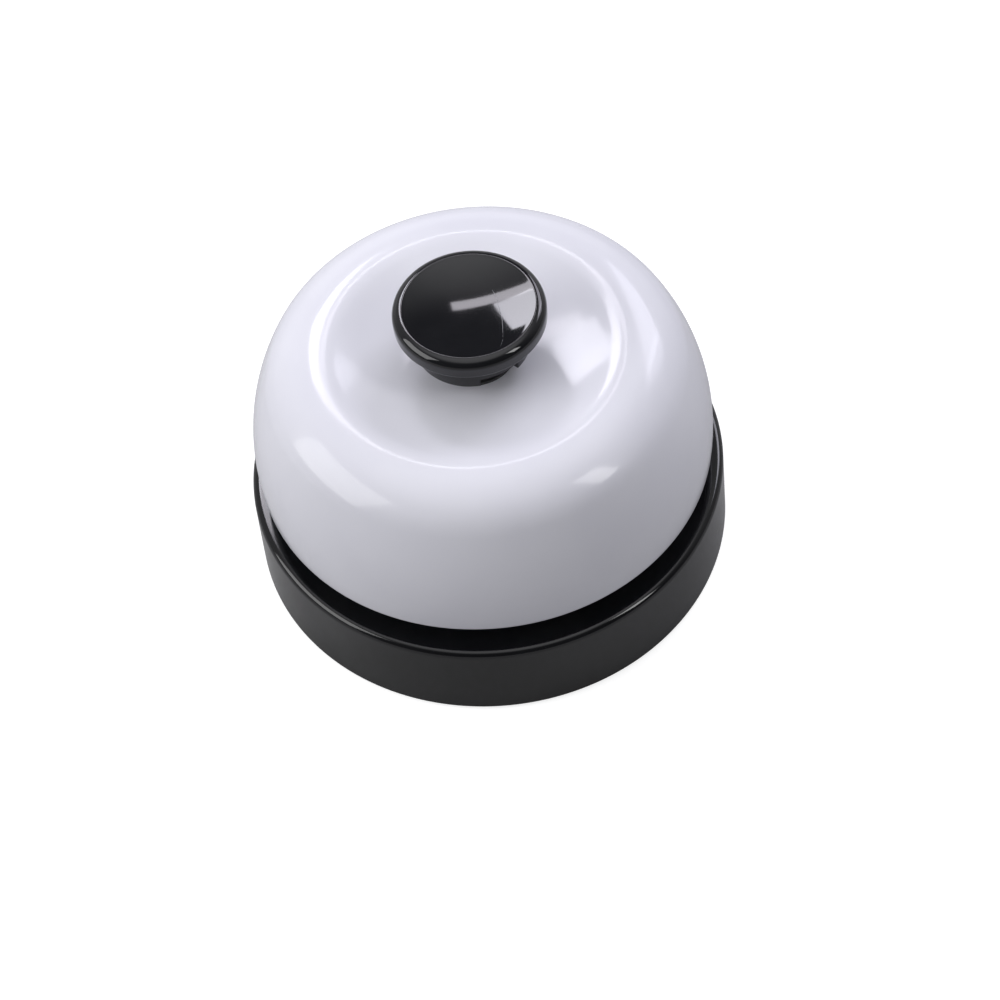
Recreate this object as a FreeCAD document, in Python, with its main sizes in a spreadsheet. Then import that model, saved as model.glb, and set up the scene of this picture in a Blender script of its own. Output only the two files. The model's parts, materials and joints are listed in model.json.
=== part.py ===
import FreeCAD, Part
import math
import os

import Sketcher

# A counter service bell: a black moulded base with a steel floor plate on rubber feet,
# a white enamelled gong on a hollow post, and a black push button. The button's rod runs
# down through the post and tips a sprung lever, whose brass hammer strikes the gong's
# shoulder from inside. Millimetres; +Z up; the origin is the middle of the footprint on
# the table; -Y is the front and the hammer swings in the XZ plane, on the +X side.

# Driving dimensions: name, value in millimetres (or degrees, or a count), meaning.
DIMENSIONS = [
    ("stand_off", 0.8, "height of the housing's lower edge above the table"),
    ("base_radius", 42.5, "outer radius of the housing at its lower edge"),
    ("base_draft", 0.6, "how much narrower the housing is at the top"),
    ("base_edge", 1.2, "rounding of the housing's top edge"),
    ("deck_top", 16.8, "height of the housing's flat top"),
    ("deck_wall", 2.0, "thickness of the housing's top"),
    ("foot_edge", 0.5, "rounding of the housing's lower edge"),
    ("plate_seat", 3.6, "height of the ledge the floor plate bears on"),
    ("plate_pocket_radius", 40.1, "radius of the pocket that takes the floor plate"),
    ("ledge_radius", 38.6, "inner radius of the ledge above the floor plate"),
    ("ledge_rise", 2.4, "height of that ledge"),
    ("wall_radius", 39.6, "inner radius of the housing's wall above the ledge"),
    ("boss_radius", 3.2, "radius of the moulded screw bosses"),
    ("rib_thickness", 1.5, "thickness of the ribs under the housing's top"),
    ("rib_depth", 4.0, "depth of the ribs under the housing's top"),
    ("rib_start", 6.0, "distance from the middle where a rib starts"),
    ("rib_count", 6.0, "number of ribs under the housing's top"),
    ("inner_fillet", 1.0, "rounding inside the housing, between its wall and its top"),
    ("core_radius", 1.25, "radius of the cored holes for the self-tapping screws"),
    ("core_spare", 2.0, "depth of a cored hole beyond the screw's point"),
    ("sheet", 1.2, "thickness of the stamped steel parts"),
    ("plate_radius", 39.8, "radius of the floor plate"),
    ("plate_raised_radius", 20.0, "radius of the floor plate's raised middle"),
    ("plate_raise", 1.0, "how far the middle of the floor plate is pressed up"),
    ("plate_screw_circle", 31.0, "distance of the floor plate's screws from the middle"),
    ("screw_count", 3.0, "number of floor plate screws, and of feet"),
    ("screw_radius", 1.2, "radius of a screw's shank"),
    ("screw_length", 8.0, "length of a screw under its head"),
    ("screw_point", 1.2, "length of a screw's conical point"),
    ("screw_clearance", 1.7, "radius of the clearance holes for the screws"),
    ("head_radius", 2.8, "radius of a screw's pan head"),
    ("head_height", 1.7, "height of a screw's pan head"),
    ("head_round", 1.0, "rounding of a screw's pan head"),
    ("recess_arm", 1.6, "reach of the cross recess from the screw's axis"),
    ("recess_width", 0.7, "width of the cross recess"),
    ("recess_depth", 1.0, "depth of the cross recess"),
    ("foot_radius", 5.5, "radius of a rubber foot"),
    ("foot_round", 0.4, "rounding of a rubber foot's lower edge"),
    ("bracket_back", 8.0, "reach of the bracket behind the bell's axis, along -X"),
    ("bracket_nose", 13.0, "reach of the bracket's legs towards the hammer, along +X"),
    ("bracket_gap", 7.8, "distance of a leg's inner face from the middle plane"),
    ("bracket_bend", 1.0, "inner radius of the bracket's bends"),
    ("bracket_flange", 12.0, "reach of a bracket foot beyond its leg"),
    ("bracket_underside", 37.8, "height of the underside of the bracket's bridge"),
    ("bracket_shoulder", 33.0, "height of the step in the bracket's legs"),
    ("bracket_corner", 3.0, "rounding of the bracket's outer corners"),
    ("bracket_screw_offset", 16.0, "distance of the bracket's screws from the middle plane"),
    ("bracket_screw_station", 2.5, "place of the bracket's screws along X"),
    ("post_bore", 2.05, "radius of the post's bore, a running fit on the rod"),
    ("post_thread", 3.5, "radius of the post's threaded ends"),
    ("post_body", 4.5, "radius of the post between its flange and its seat"),
    ("post_flange", 6.0, "radius of the post's flange"),
    ("post_flange_thickness", 1.2, "thickness of the post's flange"),
    ("post_chamfer", 0.4, "chamfer of the post's threaded ends"),
    ("post_tail", 34.6, "height of the post's lower end"),
    ("post_spare", 0.8, "thread left above the gong nut"),
    ("thread_gap", 0.05, "radial gap between plain cylinders that stand for mating threads"),
    ("nut_flats", 11.0, "width of the nuts across their flats"),
    ("nut_chamfer_radius", 5.6, "radius of the nuts' chamfered face"),
    ("post_nut_height", 2.1, "height of the nut under the bridge"),
    ("gong_nut_height", 2.2, "height of the nut on the gong"),
    ("lock_washer_radius", 5.8, "outer radius of the split washer"),
    ("lock_washer_height", 0.8, "height of the split washer"),
    ("lock_washer_slit", 0.8, "width of the split washer's slit"),
    ("washer_radius", 7.0, "outer radius of the washers that hold the gong"),
    ("seat_washer_height", 0.8, "thickness of the washer under the gong"),
    ("top_washer_height", 0.6, "thickness of the washer on the gong"),
    ("washer_gap", 0.1, "radial gap between a washer, or the gong, and the post"),
    ("gong_sheet", 0.9, "thickness of the gong"),
    ("gong_crown", 45.2, "height of the flat seat in the middle of the gong"),
    ("gong_seat", 8.0, "radius of that flat seat"),
    ("gong_ridge_radius", 26.09, "radius of the gong's highest ring"),
    ("gong_ridge_height", 47.65, "height of that ring"),
    ("gong_ridge", 12.0, "outer radius of the gong's ridge in section"),
    ("gong_break", 50.0, "lean of the gong where its ridge meets its shoulder, degrees"),
    ("gong_shoulder", 8.4, "outer radius of the gong's shoulder in section"),
    ("gong_lean", 27.2, "lean of the side wall where it meets the shoulder, degrees"),
    ("gong_side", 37.5, "outer radius of the gong's side wall in section"),
    ("gong_tuck", 4.8, "how far the rim is tucked in, degrees"),
    ("gong_lip", 0.5, "rounding of the gong's rim"),
    ("cap_radius", 12.75, "radius of the button"),
    ("cap_top", 57.6, "height of the button's highest ring"),
    ("cap_underside", 54.3, "height of the underside of the button's disc"),
    ("cap_edge", 1.6, "rounding of the button's upper edge"),
    ("cap_low_edge", 0.4, "rounding of the lower edge of the button's disc"),
    ("cap_dip", 1.0, "depth of the dished top of the button"),
    ("skirt_radius", 9.8, "outer radius of the button's skirt"),
    ("skirt_wall", 1.5, "thickness of the button's skirt"),
    ("skirt_foot", 48.3, "height of the skirt's lower edge"),
    ("skirt_round", 0.3, "rounding of the skirt's lower edge"),
    ("notch_rise", 1.7, "depth of the notches in the skirt"),
    ("notch_start", 272.5, "direction of a notch's first side, degrees from +X"),
    ("notch_end", 315.0, "direction of a notch's second side, degrees from +X"),
    ("notch_count", 3.0, "number of notches in the skirt"),
    ("cap_boss_radius", 3.6, "radius of the boss that holds the rod"),
    ("cap_boss_foot", 52.4, "height of that boss's lower end"),
    ("cap_rib_thickness", 1.0, "thickness of the ribs under the button"),
    ("cap_rib_depth", 1.4, "depth of the ribs under the button"),
    ("cap_rib_start", 5.2, "distance from the axis where a button rib starts"),
    ("cap_rib_count", 6.0, "number of ribs under the button"),
    ("rod_radius", 2.0, "radius of the rod"),
    ("rod_tip", 31.75, "height of the rod's rounded lower end"),
    ("rod_head", 55.4, "height of the rod's upper end, inside the button"),
    ("rod_chamfer", 0.4, "chamfer of the rod's upper end"),
    ("rod_neck", 1.5, "radius of the rod's clip groove"),
    ("clip_sheet", 0.6, "thickness of the retaining clips"),
    ("clip_gap", 0.05, "axial play of a clip in its groove"),
    ("clip_snug", 0.02, "radial play of a clip in its groove"),
    ("clip_mouth", 0.85, "half the width of a clip's mouth, as a share of its groove's radius"),
    ("clip_relief", 0.33, "radius of a clip's relief notches, as a share of the clip's width"),
    ("clip_relief_angle", 51.0, "direction of a clip's relief notches, degrees from its back"),
    ("rod_clip_radius", 4.2, "outer radius of the rod's clip"),
    ("pin_clip_radius", 3.2, "outer radius of the pivot pin's clip"),
    ("pivot_station", 9.0, "place of the pivot along X"),
    ("pivot_height", 26.8, "height of the pivot"),
    ("pin_radius", 1.5, "radius of the pivot pin"),
    ("pin_neck", 1.1, "radius of the pin's clip groove"),
    ("pin_head_radius", 2.4, "radius of the pin's head"),
    ("pin_head_height", 1.2, "height of the pin's head"),
    ("pin_end", 1.4, "pin beyond its clip groove"),
    ("pin_snug", 0.02, "radial gap of the pin in the bracket's legs"),
    ("running_gap", 0.06, "radial gap of the lever and the spacers on the pin"),
    ("lever_top", 31.6, "height of the lever's upper face"),
    ("lever_half_width", 4.2, "half the lever's width"),
    ("lever_heel", 3.5, "reach of the lever beyond the bell's axis, along -X"),
    ("lever_heel_round", 1.5, "rounding of the lever's heel"),
    ("ear_radius", 3.4, "radius of the lever's ears about the pivot"),
    ("ear_sheet", 1.0, "thickness of the lever's ears"),
    ("spacer_radius", 2.5, "outer radius of the spacers"),
    ("spacer_play", 0.1, "end play at each end of a spacer"),
    ("hammer_station", 30.0, "place of the hammer along X"),
    ("hammer_radius", 4.0, "radius of the hammer"),
    ("hammer_crown", 39.9, "height of the hammer's domed top"),
    ("hammer_dome", 1.6, "height of that dome"),
    ("shank_radius", 1.5, "radius of the hammer's rivet shank"),
    ("shank_gap", 0.05, "radial gap of the shank in the lever"),
    ("rivet_radius", 2.4, "radius of the rivet formed under the lever"),
    ("rivet_height", 0.9, "height of the rivet formed under the lever"),
    ("return_wire", 0.3, "radius of the return spring's wire"),
    ("return_coil", 4.2, "radius of the return spring's coils"),
    ("return_turns", 4.0, "turns of the return spring"),
    ("spring_rest", 0.02, "gap between a spring and what it bears on"),
    ("torsion_wire", 0.25, "radius of the lever spring's wire"),
    ("torsion_coil", 2.2, "radius of the lever spring's coils"),
    ("torsion_pitch", 0.75, "pitch of the lever spring's coils"),
    ("torsion_turns", 5.0, "whole turns of the lever spring"),
    ("torsion_upper_angle", 82.0, "direction from the pivot where its upper leg leaves, degrees"),
    ("torsion_lower_angle", -60.4, "direction from the pivot where its lower leg leaves, degrees"),
    ("torsion_upper_leg", 7.9, "length of its upper leg"),
    ("torsion_lower_leg", 15.2, "length of its lower leg"),
]

SHEET = "Sizes"
FULL_TURN = 360.0
HEXAGON_SIDES = 6
NO_LENGTH = 0.01


class Size:
    """A number together with the spreadsheet formula that gives it."""

    def __init__(self, value, formula):
        self.value = value
        self.formula = formula

    def __add__(self, other):
        other = as_size(other)
        return Size(self.value + other.value, f"({self.formula} + {other.formula})")

    def __sub__(self, other):
        other = as_size(other)
        return Size(self.value - other.value, f"({self.formula} - {other.formula})")

    def __mul__(self, other):
        other = as_size(other)
        return Size(self.value * other.value, f"({self.formula} * {other.formula})")

    def __truediv__(self, other):
        other = as_size(other)
        return Size(self.value / other.value, f"({self.formula} / {other.formula})")

    def __neg__(self):
        return self * -1

    def __radd__(self, other):
        return as_size(other) + self

    def __rsub__(self, other):
        return as_size(other) - self

    __rmul__ = __mul__


def as_size(number):
    """A plain number as a Size; a Size stays as it is."""
    if isinstance(number, Size):
        return number
    return Size(float(number), f"({float(number)})")


def cosine(angle):
    """Cosine of an angle in degrees."""
    return Size(math.cos(math.radians(angle.value)), f"cos({angle.formula} * 1 deg)")


def sine(angle):
    """Sine of an angle in degrees."""
    return Size(math.sin(math.radians(angle.value)), f"sin({angle.formula} * 1 deg)")


ZERO = as_size(0)

doc = FreeCAD.newDocument("service_bell")
parts = []


def make_sheet():
    """Fills the spreadsheet and gives each of its cells as a Size, by name."""
    sheet = doc.addObject("Spreadsheet::Sheet", SHEET)
    sizes = {}
    for row, (name, value, meaning) in enumerate(DIMENSIONS, start=1):
        sheet.set(f"A{row}", meaning)
        sheet.set(f"B{row}", str(value))
        sheet.setAlias(f"B{row}", name)
        sizes[name] = Size(value, f"{SHEET}.{name}")
    doc.recompute()
    return sizes


class Sizes:
    """Gives the sheet's sizes as attributes, so that formulas read as words."""

    def __init__(self, sizes):
        self.__dict__.update(sizes)


dim = Sizes(make_sheet())


# ---------------------------------------------------------------- building blocks

def bind(thing, target, size):
    """Ties a property of a document object to a size."""
    thing.setExpression(target, as_size(size).formula)


def new_part(name, kind="PartDesign::Body"):
    """A new sub-part, whose label names its file."""
    part = doc.addObject(kind, name)
    part.Label = name
    parts.append(part)
    return part


def new_body(name):
    """A new Part Design body, which may hold a group of identical solids."""
    body = new_part(name)
    body.AllowCompound = True
    return body


def origin_of(body, role):
    """One of the body's own origin planes or axes."""
    return next(item for item in body.Origin.OriginFeatures if item.Role == role)


def sketch_on(body, plane, name, across=ZERO, up=ZERO, out=ZERO):
    """A sketch on one of the body's planes, moved within that plane and along its normal."""
    sketch = body.newObject("Sketcher::SketchObject", f"{body.Name}_{name}")
    sketch.AttachmentSupport = [(origin_of(body, plane), "")]
    sketch.MapMode = "FlatFace"
    for letter, size in (("x", across), ("y", up), ("z", out)):
        if size is not ZERO:
            bind(sketch, f"AttachmentOffset.Base.{letter}", size)
    return sketch


def hold_point(sketch, element, end, x, y):
    """Fixes a point of a sketch at (x, y)."""
    for kind, size, axis in (("DistanceX", x, -2), ("DistanceY", y, -1)):
        if size is ZERO:
            sketch.addConstraint(Sketcher.Constraint("PointOnObject", element, end, axis))
        else:
            rule = Sketcher.Constraint(kind, -1, 1, element, end, size.value)
            bind(sketch, f"Constraints[{sketch.addConstraint(rule)}]", size)


def hold_radius(sketch, element, radius):
    """Fixes the radius of a circle or an arc of a sketch."""
    rule = Sketcher.Constraint("Radius", element, radius.value)
    bind(sketch, f"Constraints[{sketch.addConstraint(rule)}]", radius)


def arc_between(start, end, bend):
    """The arc from start to end: a positive bend turns left, and its size is the radius."""
    radius = abs(bend)
    chord = end - start
    side = FreeCAD.Vector(-chord.y, chord.x, 0).normalize() * math.copysign(1, bend)
    reach = math.sqrt(max(radius ** 2 - (chord.Length / 2) ** 2, 0))
    centre = (start + end) * 0.5 + side * reach
    first, last = (start, end) if bend > 0 else (end, start)
    angles = [math.atan2(point.y - centre.y, point.x - centre.x) for point in (first, last)]
    circle = Part.Circle(centre, FreeCAD.Vector(0, 0, 1), radius)
    return Part.ArcOfCircle(circle, angles[0], angles[1])


def outline(sketch, corners):
    """Draws a closed outline. A corner is (x, y), or (x, y, bend) where the side that
    leaves it is an arc: the bend is its radius, positive where the side turns left."""
    corners = [tuple(as_size(item) if item is not ZERO else ZERO for item in corner)
               for corner in corners]
    first = sketch.GeometryCount
    ends = []
    for index, corner in enumerate(corners):
        following = corners[(index + 1) % len(corners)]
        start = FreeCAD.Vector(corner[0].value, corner[1].value, 0)
        end = FreeCAD.Vector(following[0].value, following[1].value, 0)
        if len(corner) == 2:
            sketch.addGeometry(Part.LineSegment(start, end))
            ends.append((1, 2))
        else:
            sketch.addGeometry(arc_between(start, end, corner[2].value))
            ends.append((1, 2) if corner[2].value > 0 else (2, 1))
    for index, corner in enumerate(corners):
        following = (index + 1) % len(corners)
        join = (first + index, ends[index][1], first + following, ends[following][0])
        sketch.addConstraint(Sketcher.Constraint("Coincident", *join))
        hold_point(sketch, first + index, ends[index][0], corner[0], corner[1])
        if len(corner) == 3:
            size = corner[2] if corner[2].value > 0 else -corner[2]
            hold_radius(sketch, first + index, size)


def circle(sketch, x, y, radius):
    """Draws a circle."""
    centre = FreeCAD.Vector(x.value, y.value, 0)
    shape = Part.Circle(centre, FreeCAD.Vector(0, 0, 1), radius.value)
    element = sketch.addGeometry(shape)
    hold_point(sketch, element, 3, x, y)
    hold_radius(sketch, element, radius)


def rectangle(sketch, left, low, right, high):
    """Draws an upright rectangle."""
    outline(sketch, [(left, low), (right, low), (right, high), (left, high)])


def feature(body, kind, sketch, name):
    """A Part Design feature made from a sketch."""
    result = body.newObject(f"PartDesign::{kind}", f"{body.Name}_{name}")
    result.Profile = sketch
    return result


def revolve(body, sketch, name="turned", axis="V_Axis"):
    """A solid turned about one of its sketch's axes."""
    result = feature(body, "Revolution", sketch, name)
    result.ReferenceAxis = (sketch, [axis])
    result.Angle = FULL_TURN
    return result


def pad(body, sketch, length, name="pad"):
    """A solid raised from a sketch, along the sketch's normal."""
    result = feature(body, "Pad", sketch, name)
    bind(result, "Length", length)
    return result


def cut(body, sketch, depth, name="cut", along_normal=False):
    """A pocket of a given depth, and a check that it takes material away."""
    doc.recompute()
    before = body.Shape.Volume
    result = feature(body, "Pocket", sketch, name)
    bind(result, "Length", depth)
    result.Reversed = along_normal
    doc.recompute()
    if body.Shape.Volume >= before:
        raise ValueError(f"{result.Name} cuts nothing")
    return result


def spread(body, seed, count, name="ring"):
    """Repeats a feature around the body's upright axis."""
    result = body.newObject("PartDesign::PolarPattern", f"{body.Name}_{name}")
    result.Originals = seed if isinstance(seed, list) else [seed]
    result.Axis = (origin_of(body, "Z_Axis"), [""])
    result.Angle = FULL_TURN
    bind(result, "Occurrences", count)
    body.Tip = result
    doc.recompute()
    return result


def mirror(body, seed, name="pair"):
    """Repeats features on the other side of the middle plane, Y = 0."""
    result = body.newObject("PartDesign::Mirrored", f"{body.Name}_{name}")
    result.Originals = seed if isinstance(seed, list) else [seed]
    result.MirrorPlane = (origin_of(body, "XZ_Plane"), [""])
    body.Tip = result
    doc.recompute()
    return result


def round_edges(body, base, wanted, radius, name="rounded"):
    """Rounds the edges of a feature for which wanted(edge) holds."""
    doc.recompute()
    names = [f"Edge{number}" for number, edge in enumerate(base.Shape.Edges, start=1) if wanted(edge)]
    result = body.newObject("PartDesign::Fillet", f"{body.Name}_{name}")
    result.Base = (base, names)
    bind(result, "Radius", radius)
    return result


def cylinder(name, radius, height, base=ZERO, x=ZERO, y=ZERO):
    """An upright Part cylinder."""
    result = doc.addObject("Part::Cylinder", name)
    bind(result, "Radius", radius)
    bind(result, "Height", height)
    place(result, x, y, base)
    return result


def place(thing, x, y, z):
    """Ties an object's position to sizes."""
    for letter, size in (("x", x), ("y", y), ("z", z)):
        if size is not ZERO:
            bind(thing, f"Placement.Base.{letter}", size)


def subtract(result, base, tools):
    """Makes a Part::Cut of a base and one or more tools."""
    result.Base = base
    if len(tools) == 1:
        result.Tool = tools[0]
        return
    group = doc.addObject("Part::MultiFuse", f"{result.Name}_tools")
    group.Shapes = tools
    result.Tool = group


# ---------------------------------------------------------------- levels worked out once

deck_underside = dim.deck_top - dim.deck_wall
plate_underside = dim.plate_seat - dim.sheet
bracket_leg = dim.bracket_gap + dim.sheet
bridge_top = dim.bracket_underside + dim.sheet
gong_underside = dim.gong_crown - dim.gong_sheet
post_seat = gong_underside - dim.seat_washer_height
gong_nut_foot = dim.gong_crown + dim.top_washer_height
gong_nut_top = gong_nut_foot + dim.gong_nut_height
lever_underside = dim.lever_top - dim.sheet
screw_reach = dim.screw_length + dim.core_spare


# ---------------------------------------------------------------- base

def base_housing():
    """The moulded base: a shallow drum open below, with screw bosses and ribs inside."""
    body = new_body("base_housing")
    top_radius = dim.base_radius - dim.base_draft
    sketch = sketch_on(body, "XZ_Plane", "section")
    outline(sketch, [
        (ZERO, dim.deck_top),
        (top_radius - dim.base_edge, dim.deck_top, -dim.base_edge),
        (top_radius, dim.deck_top - dim.base_edge),
        (dim.base_radius, dim.stand_off + dim.foot_edge, -dim.foot_edge),
        (dim.base_radius - dim.foot_edge, dim.stand_off),
        (dim.plate_pocket_radius, dim.stand_off),
        (dim.plate_pocket_radius, dim.plate_seat),
        (dim.ledge_radius, dim.plate_seat),
        (dim.ledge_radius, dim.plate_seat + dim.ledge_rise),
        (dim.wall_radius, dim.plate_seat + dim.ledge_rise + dim.inner_fillet),
        (dim.wall_radius, deck_underside - dim.inner_fillet, dim.inner_fillet),
        (dim.wall_radius - dim.inner_fillet, deck_underside),
        (ZERO, deck_underside),
    ])
    revolve(body, sketch)

    plate_bosses = sketch_on(body, "XY_Plane", "plate_bosses", out=dim.plate_seat)
    circle(plate_bosses, ZERO, dim.plate_screw_circle, dim.boss_radius)
    into_deck = dim.deck_wall / 2
    boss = pad(body, plate_bosses, deck_underside - dim.plate_seat + into_deck, "plate_boss")
    spread(body, boss, dim.screw_count, "plate_boss_ring")

    boss_foot = dim.deck_top - screw_reach
    bracket_bosses = sketch_on(body, "XY_Plane", "bracket_bosses", out=boss_foot)
    for side in (1, -1):
        circle(bracket_bosses, dim.bracket_screw_station, dim.bracket_screw_offset * side, dim.boss_radius)
    pad(body, bracket_bosses, deck_underside - boss_foot + into_deck, "bracket_boss")

    rib = sketch_on(body, "XY_Plane", "rib", out=deck_underside - dim.rib_depth)
    half_rib = dim.rib_thickness / 2
    rectangle(rib, dim.rib_start, -half_rib, dim.wall_radius + half_rib, half_rib)
    spread(body, pad(body, rib, dim.rib_depth + into_deck, "rib_pad"), dim.rib_count, "rib_ring")

    core = sketch_on(body, "XY_Plane", "plate_core", out=dim.plate_seat)
    circle(core, ZERO, dim.plate_screw_circle, dim.core_radius)
    hole = cut(body, core, screw_reach - dim.sheet, "plate_hole", along_normal=True)
    spread(body, hole, dim.screw_count, "plate_hole_ring")

    cores = sketch_on(body, "XY_Plane", "bracket_cores", out=dim.deck_top)
    for side in (1, -1):
        circle(cores, dim.bracket_screw_station, dim.bracket_screw_offset * side, dim.core_radius)
    cut(body, cores, screw_reach - dim.sheet, "bracket_hole")


def base_plate():
    """The steel floor of the base, pressed up in the middle, with three screw holes."""
    body = new_body("base_plate")
    slope = dim.plate_raise
    raised_edge = dim.plate_raised_radius - slope
    sketch = sketch_on(body, "XZ_Plane", "section")
    outline(sketch, [
        (ZERO, plate_underside + dim.plate_raise),
        (raised_edge, plate_underside + dim.plate_raise),
        (dim.plate_raised_radius, plate_underside),
        (dim.plate_radius, plate_underside),
        (dim.plate_radius, dim.plate_seat),
        (dim.plate_raised_radius + slope / 2, dim.plate_seat),
        (raised_edge + slope / 2, dim.plate_seat + dim.plate_raise),
        (ZERO, dim.plate_seat + dim.plate_raise),
    ])
    revolve(body, sketch)
    holes = sketch_on(body, "XY_Plane", "holes", out=dim.plate_seat)
    circle(holes, ZERO, dim.plate_screw_circle, dim.screw_clearance)
    spread(body, cut(body, holes, dim.sheet, "hole"), dim.screw_count, "hole_ring")


def pan_screw(body, x, y, seat, up):
    """One self-tapping screw at (x, y): its head is above the seat (up = 1) or below it."""
    flat = dim.head_radius - dim.head_round
    head_top = seat + dim.head_height * up
    shank_end = seat - (dim.screw_length - dim.screw_point) * up
    sketch = sketch_on(body, "XZ_Plane", "section", across=x, out=-y)
    outline(sketch, [
        (ZERO, head_top),
        (flat, head_top, -dim.head_round * up),
        (dim.head_radius, head_top - dim.head_round * up),
        (dim.head_radius, seat),
        (dim.screw_radius, seat),
        (dim.screw_radius, shank_end),
        (ZERO, shank_end - dim.screw_point * up),
    ])
    turned = revolve(body, sketch)
    arm = dim.recess_arm
    half = dim.recess_width / 2
    recess = sketch_on(body, "XY_Plane", "recess", across=x, up=y, out=head_top)
    outline(recess, [
        (half, half), (arm, half), (arm, -half), (half, -half), (half, -arm), (-half, -arm),
        (-half, -half), (-arm, -half), (-arm, half), (-half, half), (-half, arm), (half, arm),
    ])
    return [turned, cut(body, recess, dim.recess_depth, "recess_cut", along_normal=up < 0)]


def plate_screws():
    """Three screws that hold the floor plate to the housing, heads down."""
    body = new_body("plate_screws")
    screw = pan_screw(body, ZERO, dim.plate_screw_circle, plate_underside, -1)
    spread(body, screw, dim.screw_count)


def bracket_screws():
    """Two screws that hold the bracket's feet to the housing, heads up."""
    body = new_body("bracket_screws")
    seat = dim.deck_top + dim.sheet
    screw = pan_screw(body, dim.bracket_screw_station, dim.bracket_screw_offset, seat, 1)
    mirror(body, screw)


def foot_pads():
    """Three rubber feet under the floor plate, between its screws."""
    body = new_body("foot_pads")
    sketch = sketch_on(body, "XZ_Plane", "section", out=dim.plate_screw_circle)
    outline(sketch, [
        (ZERO, ZERO),
        (dim.foot_radius - dim.foot_round, ZERO, dim.foot_round),
        (dim.foot_radius, dim.foot_round),
        (dim.foot_radius, plate_underside),
        (ZERO, plate_underside),
    ])
    spread(body, revolve(body, sketch), dim.screw_count)


# ---------------------------------------------------------------- bracket and post

def bracket_section(sketch):
    """The bracket's hat-shaped section: two feet, two legs and the bridge."""
    inner = dim.bracket_bend
    outer = dim.bracket_bend + dim.sheet
    floor = dim.deck_top
    foot_end = bracket_leg + dim.bracket_flange
    foot_top = floor + dim.sheet
    bend_start = bracket_leg + inner
    bend_top = foot_top + inner
    bridge_bend = dim.bracket_underside - inner
    bridge_edge = dim.bracket_gap - inner
    right_inside = [
        (bridge_edge, dim.bracket_underside, -inner),
        (dim.bracket_gap, bridge_bend),
        (dim.bracket_gap, bend_top, outer),
        (bend_start, floor),
    ]
    right_outside = [
        (foot_end, floor),
        (foot_end, foot_top),
        (bend_start, foot_top, -inner),
        (bracket_leg, bend_top),
        (bracket_leg, bridge_bend, outer),
        (bridge_edge, bridge_top),
    ]
    right = right_inside + right_outside
    bends = [corner[2] if len(corner) == 3 else None for corner in right]
    left = []
    for index in reversed(range(len(right))):
        bend = bends[index - 1] if index else None
        point = (-right[index][0], right[index][1])
        left.append(point + (bend,) if bend is not None else point)
    outline(sketch, right + left)


def mechanism_bracket():
    """The stamped steel bracket that carries the post on its bridge and the pivot in its legs."""
    body = new_body("mechanism_bracket")
    section = sketch_on(body, "YZ_Plane", "section", out=-dim.bracket_back)
    bracket_section(section)
    pad(body, section, dim.bracket_back + dim.bracket_nose, "strip")

    outside = bracket_leg + dim.bracket_flange + dim.sheet
    across = outside * 2
    corner = dim.bracket_corner
    trim = sketch_on(body, "XZ_Plane", "trim", out=outside)
    outline(trim, [
        (dim.bracket_back, bridge_top + dim.sheet),
        (dim.bracket_back, dim.bracket_shoulder + corner, corner),
        (dim.bracket_back + corner, dim.bracket_shoulder),
        (dim.bracket_nose + dim.sheet, dim.bracket_shoulder),
        (dim.bracket_nose + dim.sheet, bridge_top + dim.sheet),
    ])
    cut(body, trim, across, "step")

    pivots = sketch_on(body, "XZ_Plane", "pivots", out=outside)
    circle(pivots, dim.pivot_station, dim.pivot_height, dim.pin_radius + dim.pin_snug)
    cut(body, pivots, across, "pivot_holes")

    post_hole = sketch_on(body, "XY_Plane", "post_hole", out=bridge_top)
    circle(post_hole, ZERO, ZERO, dim.post_thread + dim.thread_gap)
    cut(body, post_hole, dim.sheet, "post_cut")

    screw_holes = sketch_on(body, "XY_Plane", "screw_holes", out=dim.deck_top + dim.sheet)
    for side in (1, -1):
        circle(screw_holes, dim.bracket_screw_station, dim.bracket_screw_offset * side, dim.screw_clearance)
    holes = cut(body, screw_holes, dim.sheet, "screw_cut")

    def foot_corner(edge):
        """True for the four upright edges at the ends of the feet."""
        box = edge.BoundBox
        upright = box.XLength < NO_LENGTH and box.YLength < NO_LENGTH
        return upright and abs(box.YMax) > bracket_leg.value + dim.bracket_flange.value / 2

    round_edges(body, holes, foot_corner, corner)


def centre_post():
    """The turned post: a hollow spindle, threaded at both ends, that carries the gong."""
    body = new_body("centre_post")
    post_top = gong_nut_top + dim.post_spare
    flange_top = bridge_top + dim.post_flange_thickness
    chamfer = dim.post_chamfer
    sketch = sketch_on(body, "XZ_Plane", "section")
    outline(sketch, [
        (dim.post_bore, dim.post_tail),
        (dim.post_thread - chamfer, dim.post_tail),
        (dim.post_thread, dim.post_tail + chamfer),
        (dim.post_thread, bridge_top),
        (dim.post_flange, bridge_top),
        (dim.post_flange, flange_top),
        (dim.post_body, flange_top),
        (dim.post_body, post_seat),
        (dim.post_thread, post_seat),
        (dim.post_thread, post_top - chamfer),
        (dim.post_thread - chamfer, post_top),
        (dim.post_bore, post_top),
    ])
    revolve(body, sketch)


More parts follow.
